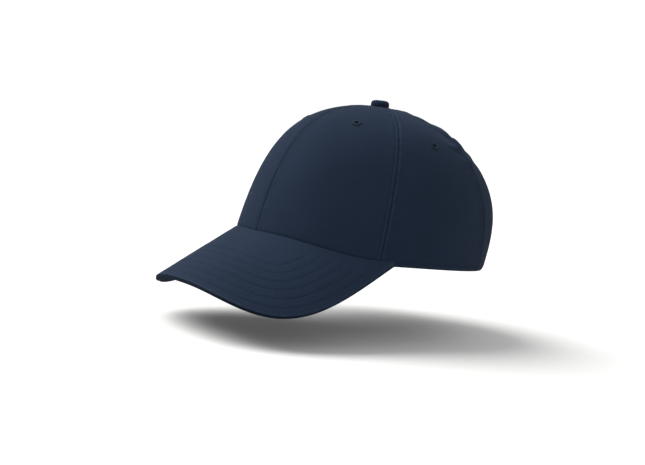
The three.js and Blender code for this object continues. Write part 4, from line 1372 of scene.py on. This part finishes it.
def strapSection(half, width):
    roll = min(strap["roll"], half)
    turn = np.linspace(0, math.pi / 2, 5)
    out, back = roll * np.sin(turn), roll - roll * np.cos(turn)
    up = np.linspace(roll, width - roll, 22)
    side = [np.stack([up, np.full(22, half)], -1)]
    side.append(np.stack([width - roll + out[1:], half - back[1:]], -1))
    side.append(np.stack([width - back, -half + roll - out], -1))
    side.append(np.stack([up[::-1], np.full(22, -half)], -1)[1:])
    side.append(np.stack([roll - out[1:], -half + back[1:]], -1))
    side.append(np.stack([back, half - roll + out], -1)[:-1])
    return np.concatenate(side)


def strapRelief(along, section, half, width, seed):
    up, out = section[:, 0], section[:, 1]
    edge = np.minimum(up, width - up)
    place = np.stack([along + 0 * up, up + 0 * along, out * 3 + 0 * along], -1)
    dip = 0.00013 * bell(edge - strap["stitchInset"], 0.0006)
    swell = 0.00008 * smooth(0.0026, 0.0045, edge) + 0.00012 * uneven(place, 0.007, seed)
    return np.sign(out) * (swell - dip) * (np.abs(out) > half * 0.6)


def longStrap():
    half = strap["thickness"] / 2
    section = strapSection(half, strap["width"])
    start, end = strap["long"]
    along = np.linspace(start, end, 190)[:, None]
    taper = np.maximum(rounded((along - end + strap["tipRound"]) / (strap["tipRound"] + 0.0002)), 0.1414)
    up = strap["width"] / 2 + (section[:, 0] - strap["width"] / 2) * (0.35 + 0.65 * taper)
    rough = strapRelief(along, section, half, strap["width"], 3.0)
    out = section[:, 1] + np.clip(rough, -0.0002, 0.0002)
    rings = strapPoint(along, up, out)
    flat = laidFlat(along, travelled(section))
    edge = np.minimum(section[:, 0], strap["width"] - section[:, 0])
    worn = np.broadcast_to(0.9 * bell(edge, 0.0006), up.shape)
    facts = {"slot": "shell_cloth", "material": "twill", "body": "strap", "wear": worn}
    piece = ringPiece("strap_long_cloth", rings, flat, **facts)
    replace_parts(piece, "strap_long")
    rows = []
    face = half - 0.0001
    inset, tip = strap["stitchInset"], end - strap["tipRound"]
    along = np.linspace(start + 0.002, tip, 160)
    for up in (inset, strap["width"] - inset):
        for way in (1, -1):
            rows.append(strapRow(along, up, face, way))
    rows.append(strapRow(tip + 0.0005, np.linspace(0.005, strap["width"] - 0.005, 30), face))
    stitchPiece("strap_long_stitching", rows, "strap")


def shortStrap():
    half = strap["shortThickness"] / 2
    low = strap["thickness"] / 2 + strap["gap"] + half
    high = low + 2 * half + 2 * strap["gap"] + strap["crossbar"]
    foldAt = strap["foldAt"]
    top = strap["bottom"] + strap["width"]
    highEnd = opening["halfWidth"] * math.sqrt(1 - (top / opening["height"]) ** 2) - 0.004
    lowEnd = opening["halfWidth"] + strap["hidden"]
    radius = (high - low) / 2
    bend = np.linspace(0, math.pi, 19)[1:-1]
    fold = foldAt - radius * np.sin(bend)
    x = np.concatenate([np.linspace(lowEnd, foldAt, 70), fold, np.linspace(foldAt, highEnd, 20)])
    y = np.concatenate([np.full(70, low), low + radius - radius * np.cos(bend), np.full(20, high)])
    line = np.stack([x, y], -1)
    tangent = unit(np.gradient(line, axis=0))
    out = np.stack([tangent[:, 1], -tangent[:, 0]], -1)
    section = strapSection(half, strap["width"])
    far = travelled(line)[:, None]
    rough = strapRelief(far, section, half, strap["width"], 8.0)
    push = section[:, 1] + np.clip(rough, -0.00014, 0.00014)
    along = line[:, :1] + out[:, :1] * push
    deep = line[:, 1:] + out[:, 1:] * push
    rings = strapPoint(along, np.broadcast_to(section[:, 0], along.shape), deep)
    flat = laidFlat(far, travelled(section))
    edge = np.minimum(section[:, 0], strap["width"] - section[:, 0])
    worn = np.broadcast_to(0.9 * bell(edge, 0.0006), push.shape)
    facts = {"slot": "shell_cloth", "material": "twill", "wear": worn}
    piece = ringPiece("strap_short_cloth", rings, flat, **facts)
    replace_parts(piece, "strap_short")
    face, inset = high + half - 0.0001, strap["stitchInset"]
    along = np.linspace(foldAt + 0.0022, highEnd - 0.0008, 40)
    rows = [strapRow(along, up, face) for up in (inset, strap["width"] - inset)]
    up = np.linspace(inset, strap["width"] - inset, 40)
    rows += [strapRow(place, up, face) for place in (highEnd - 0.0012, foldAt + 0.0042)]
    stitchPiece("strap_short_stitching", rows)


longStrap()
shortStrap()
print("straps made")


# buckle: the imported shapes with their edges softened
buckle = {
    "grain": 0.00017,
    "soften": 6,
    "bodies": {"buckle_frame": "crown", "buckle_lever": "lever", "buckle_pin": "crown"},
}
keptNodes = {
    "visor_board": "board",
    "button_shell": "metal",
    "button_post": "metal",
    "button_washer": "metal",
}


def softened(node, body):
    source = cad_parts[node]
    mesh = source.data.copy()
    mesh.transform(source.matrix_world)
    piece = bpy.data.objects.new(f"{node}_brass", mesh)
    bpy.context.scene.collection.objects.link(piece)
    remesh = piece.modifiers.new("remesh", "REMESH")
    remesh.mode = "VOXEL"
    remesh.voxel_size = buckle["grain"]
    even = piece.modifiers.new("even", "SMOOTH")
    even.factor = 0.5
    even.iterations = buckle["soften"]
    graph = bpy.context.evaluated_depsgraph_get()
    shaped = bpy.data.meshes.new_from_object(piece.evaluated_get(graph))
    piece.modifiers.clear()
    piece.data = shaped
    shaped.materials.clear()
    shaped.materials.append(finishes["brass"])
    shaped.polygons.foreach_set("use_smooth", np.ones(len(shaped.polygons), bool))
    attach(piece, body)
    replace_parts(piece, node)


for node, body in buckle["bodies"].items():
    softened(node, body)
for node, material in keptNodes.items():
    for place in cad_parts[node].material_slots:
        place.material = finishes[material]
print("buckle finished")


# camera, floor and light
view = {
    "aim": (-0.0216, -0.0229, 0.0195),
    "azimuth": 50.06,
    "elevation": 5.5,
    "roll": 6.43,
    "distance": 0.8567,
    "lens": 60.08,
}
studio = {
    "floor": -0.05,
    "floorReach": 12.0,
    "pale": 0.5,
    "sun": 5.8,
    "sunColour": (1, 0.99, 0.975),
    "from": (-0.54, -0.36, 0.76),
    "soft": 50,
    "world": 1.03,
}


def placeCamera():
    turn, lift = math.radians(view["azimuth"]), math.radians(view["elevation"])
    away = Vector((math.cos(lift) * math.sin(turn), -math.cos(lift) * math.cos(turn), math.sin(lift)))
    data = bpy.data.cameras.new("camera")
    data.lens = view["lens"]
    camera = bpy.data.objects.new("camera", data)
    camera.location = Vector(view["aim"]) + away * view["distance"]
    facing = (-away).to_track_quat("-Z", "Y")
    camera.rotation_mode = "QUATERNION"
    camera.rotation_quaternion = facing @ Quaternion((0, 0, 1), math.radians(view["roll"]))
    bpy.context.scene.collection.objects.link(camera)
    bpy.context.scene.camera = camera


def softSun():
    data = bpy.data.lights.new("soft_sun", "SUN")
    data.energy = studio["sun"]
    data.angle = math.radians(studio["soft"])
    data.color = studio["sunColour"]
    light = bpy.data.objects.new("soft_sun", data)
    light.rotation_euler = (-Vector(studio["from"])).to_track_quat("-Z", "Y").to_euler()
    bpy.context.scene.collection.objects.link(light)


def paleFloor():
    mesh = bpy.data.meshes.new("floor")
    far = studio["floorReach"]
    corners = [(-far, -far), (far, -far), (far, far), (-far, far)]
    mesh.from_pydata([(x, y, studio["floor"]) for x, y in corners], [], [(0, 1, 2, 3)])
    shader = Shader("pale_floor")
    soft = shader.range(shader.noise(shader.solid(), 3.0, 2), 0.3, 0.7, 0.985, 1.0)
    shader.set(colour=shader.scaled((studio["pale"],) * 3, soft), rough=0.9)
    mesh.materials.append(shader.material)
    floor = bpy.data.objects.new("floor", mesh)
    bpy.context.scene.collection.objects.link(floor)


def paleWorld():
    world = bpy.data.worlds.new("studio")
    world.use_nodes = True
    sky = world.node_tree.nodes["Background"]
    sky.inputs["Color"].default_value = (1, 1, 1, 1)
    sky.inputs["Strength"].default_value = studio["world"]
    bpy.context.scene.world = world
    bpy.context.scene.view_settings.view_transform = "Standard"


placeCamera()
paleFloor()
paleWorld()
softSun()
print("camera, floor and lights placed")
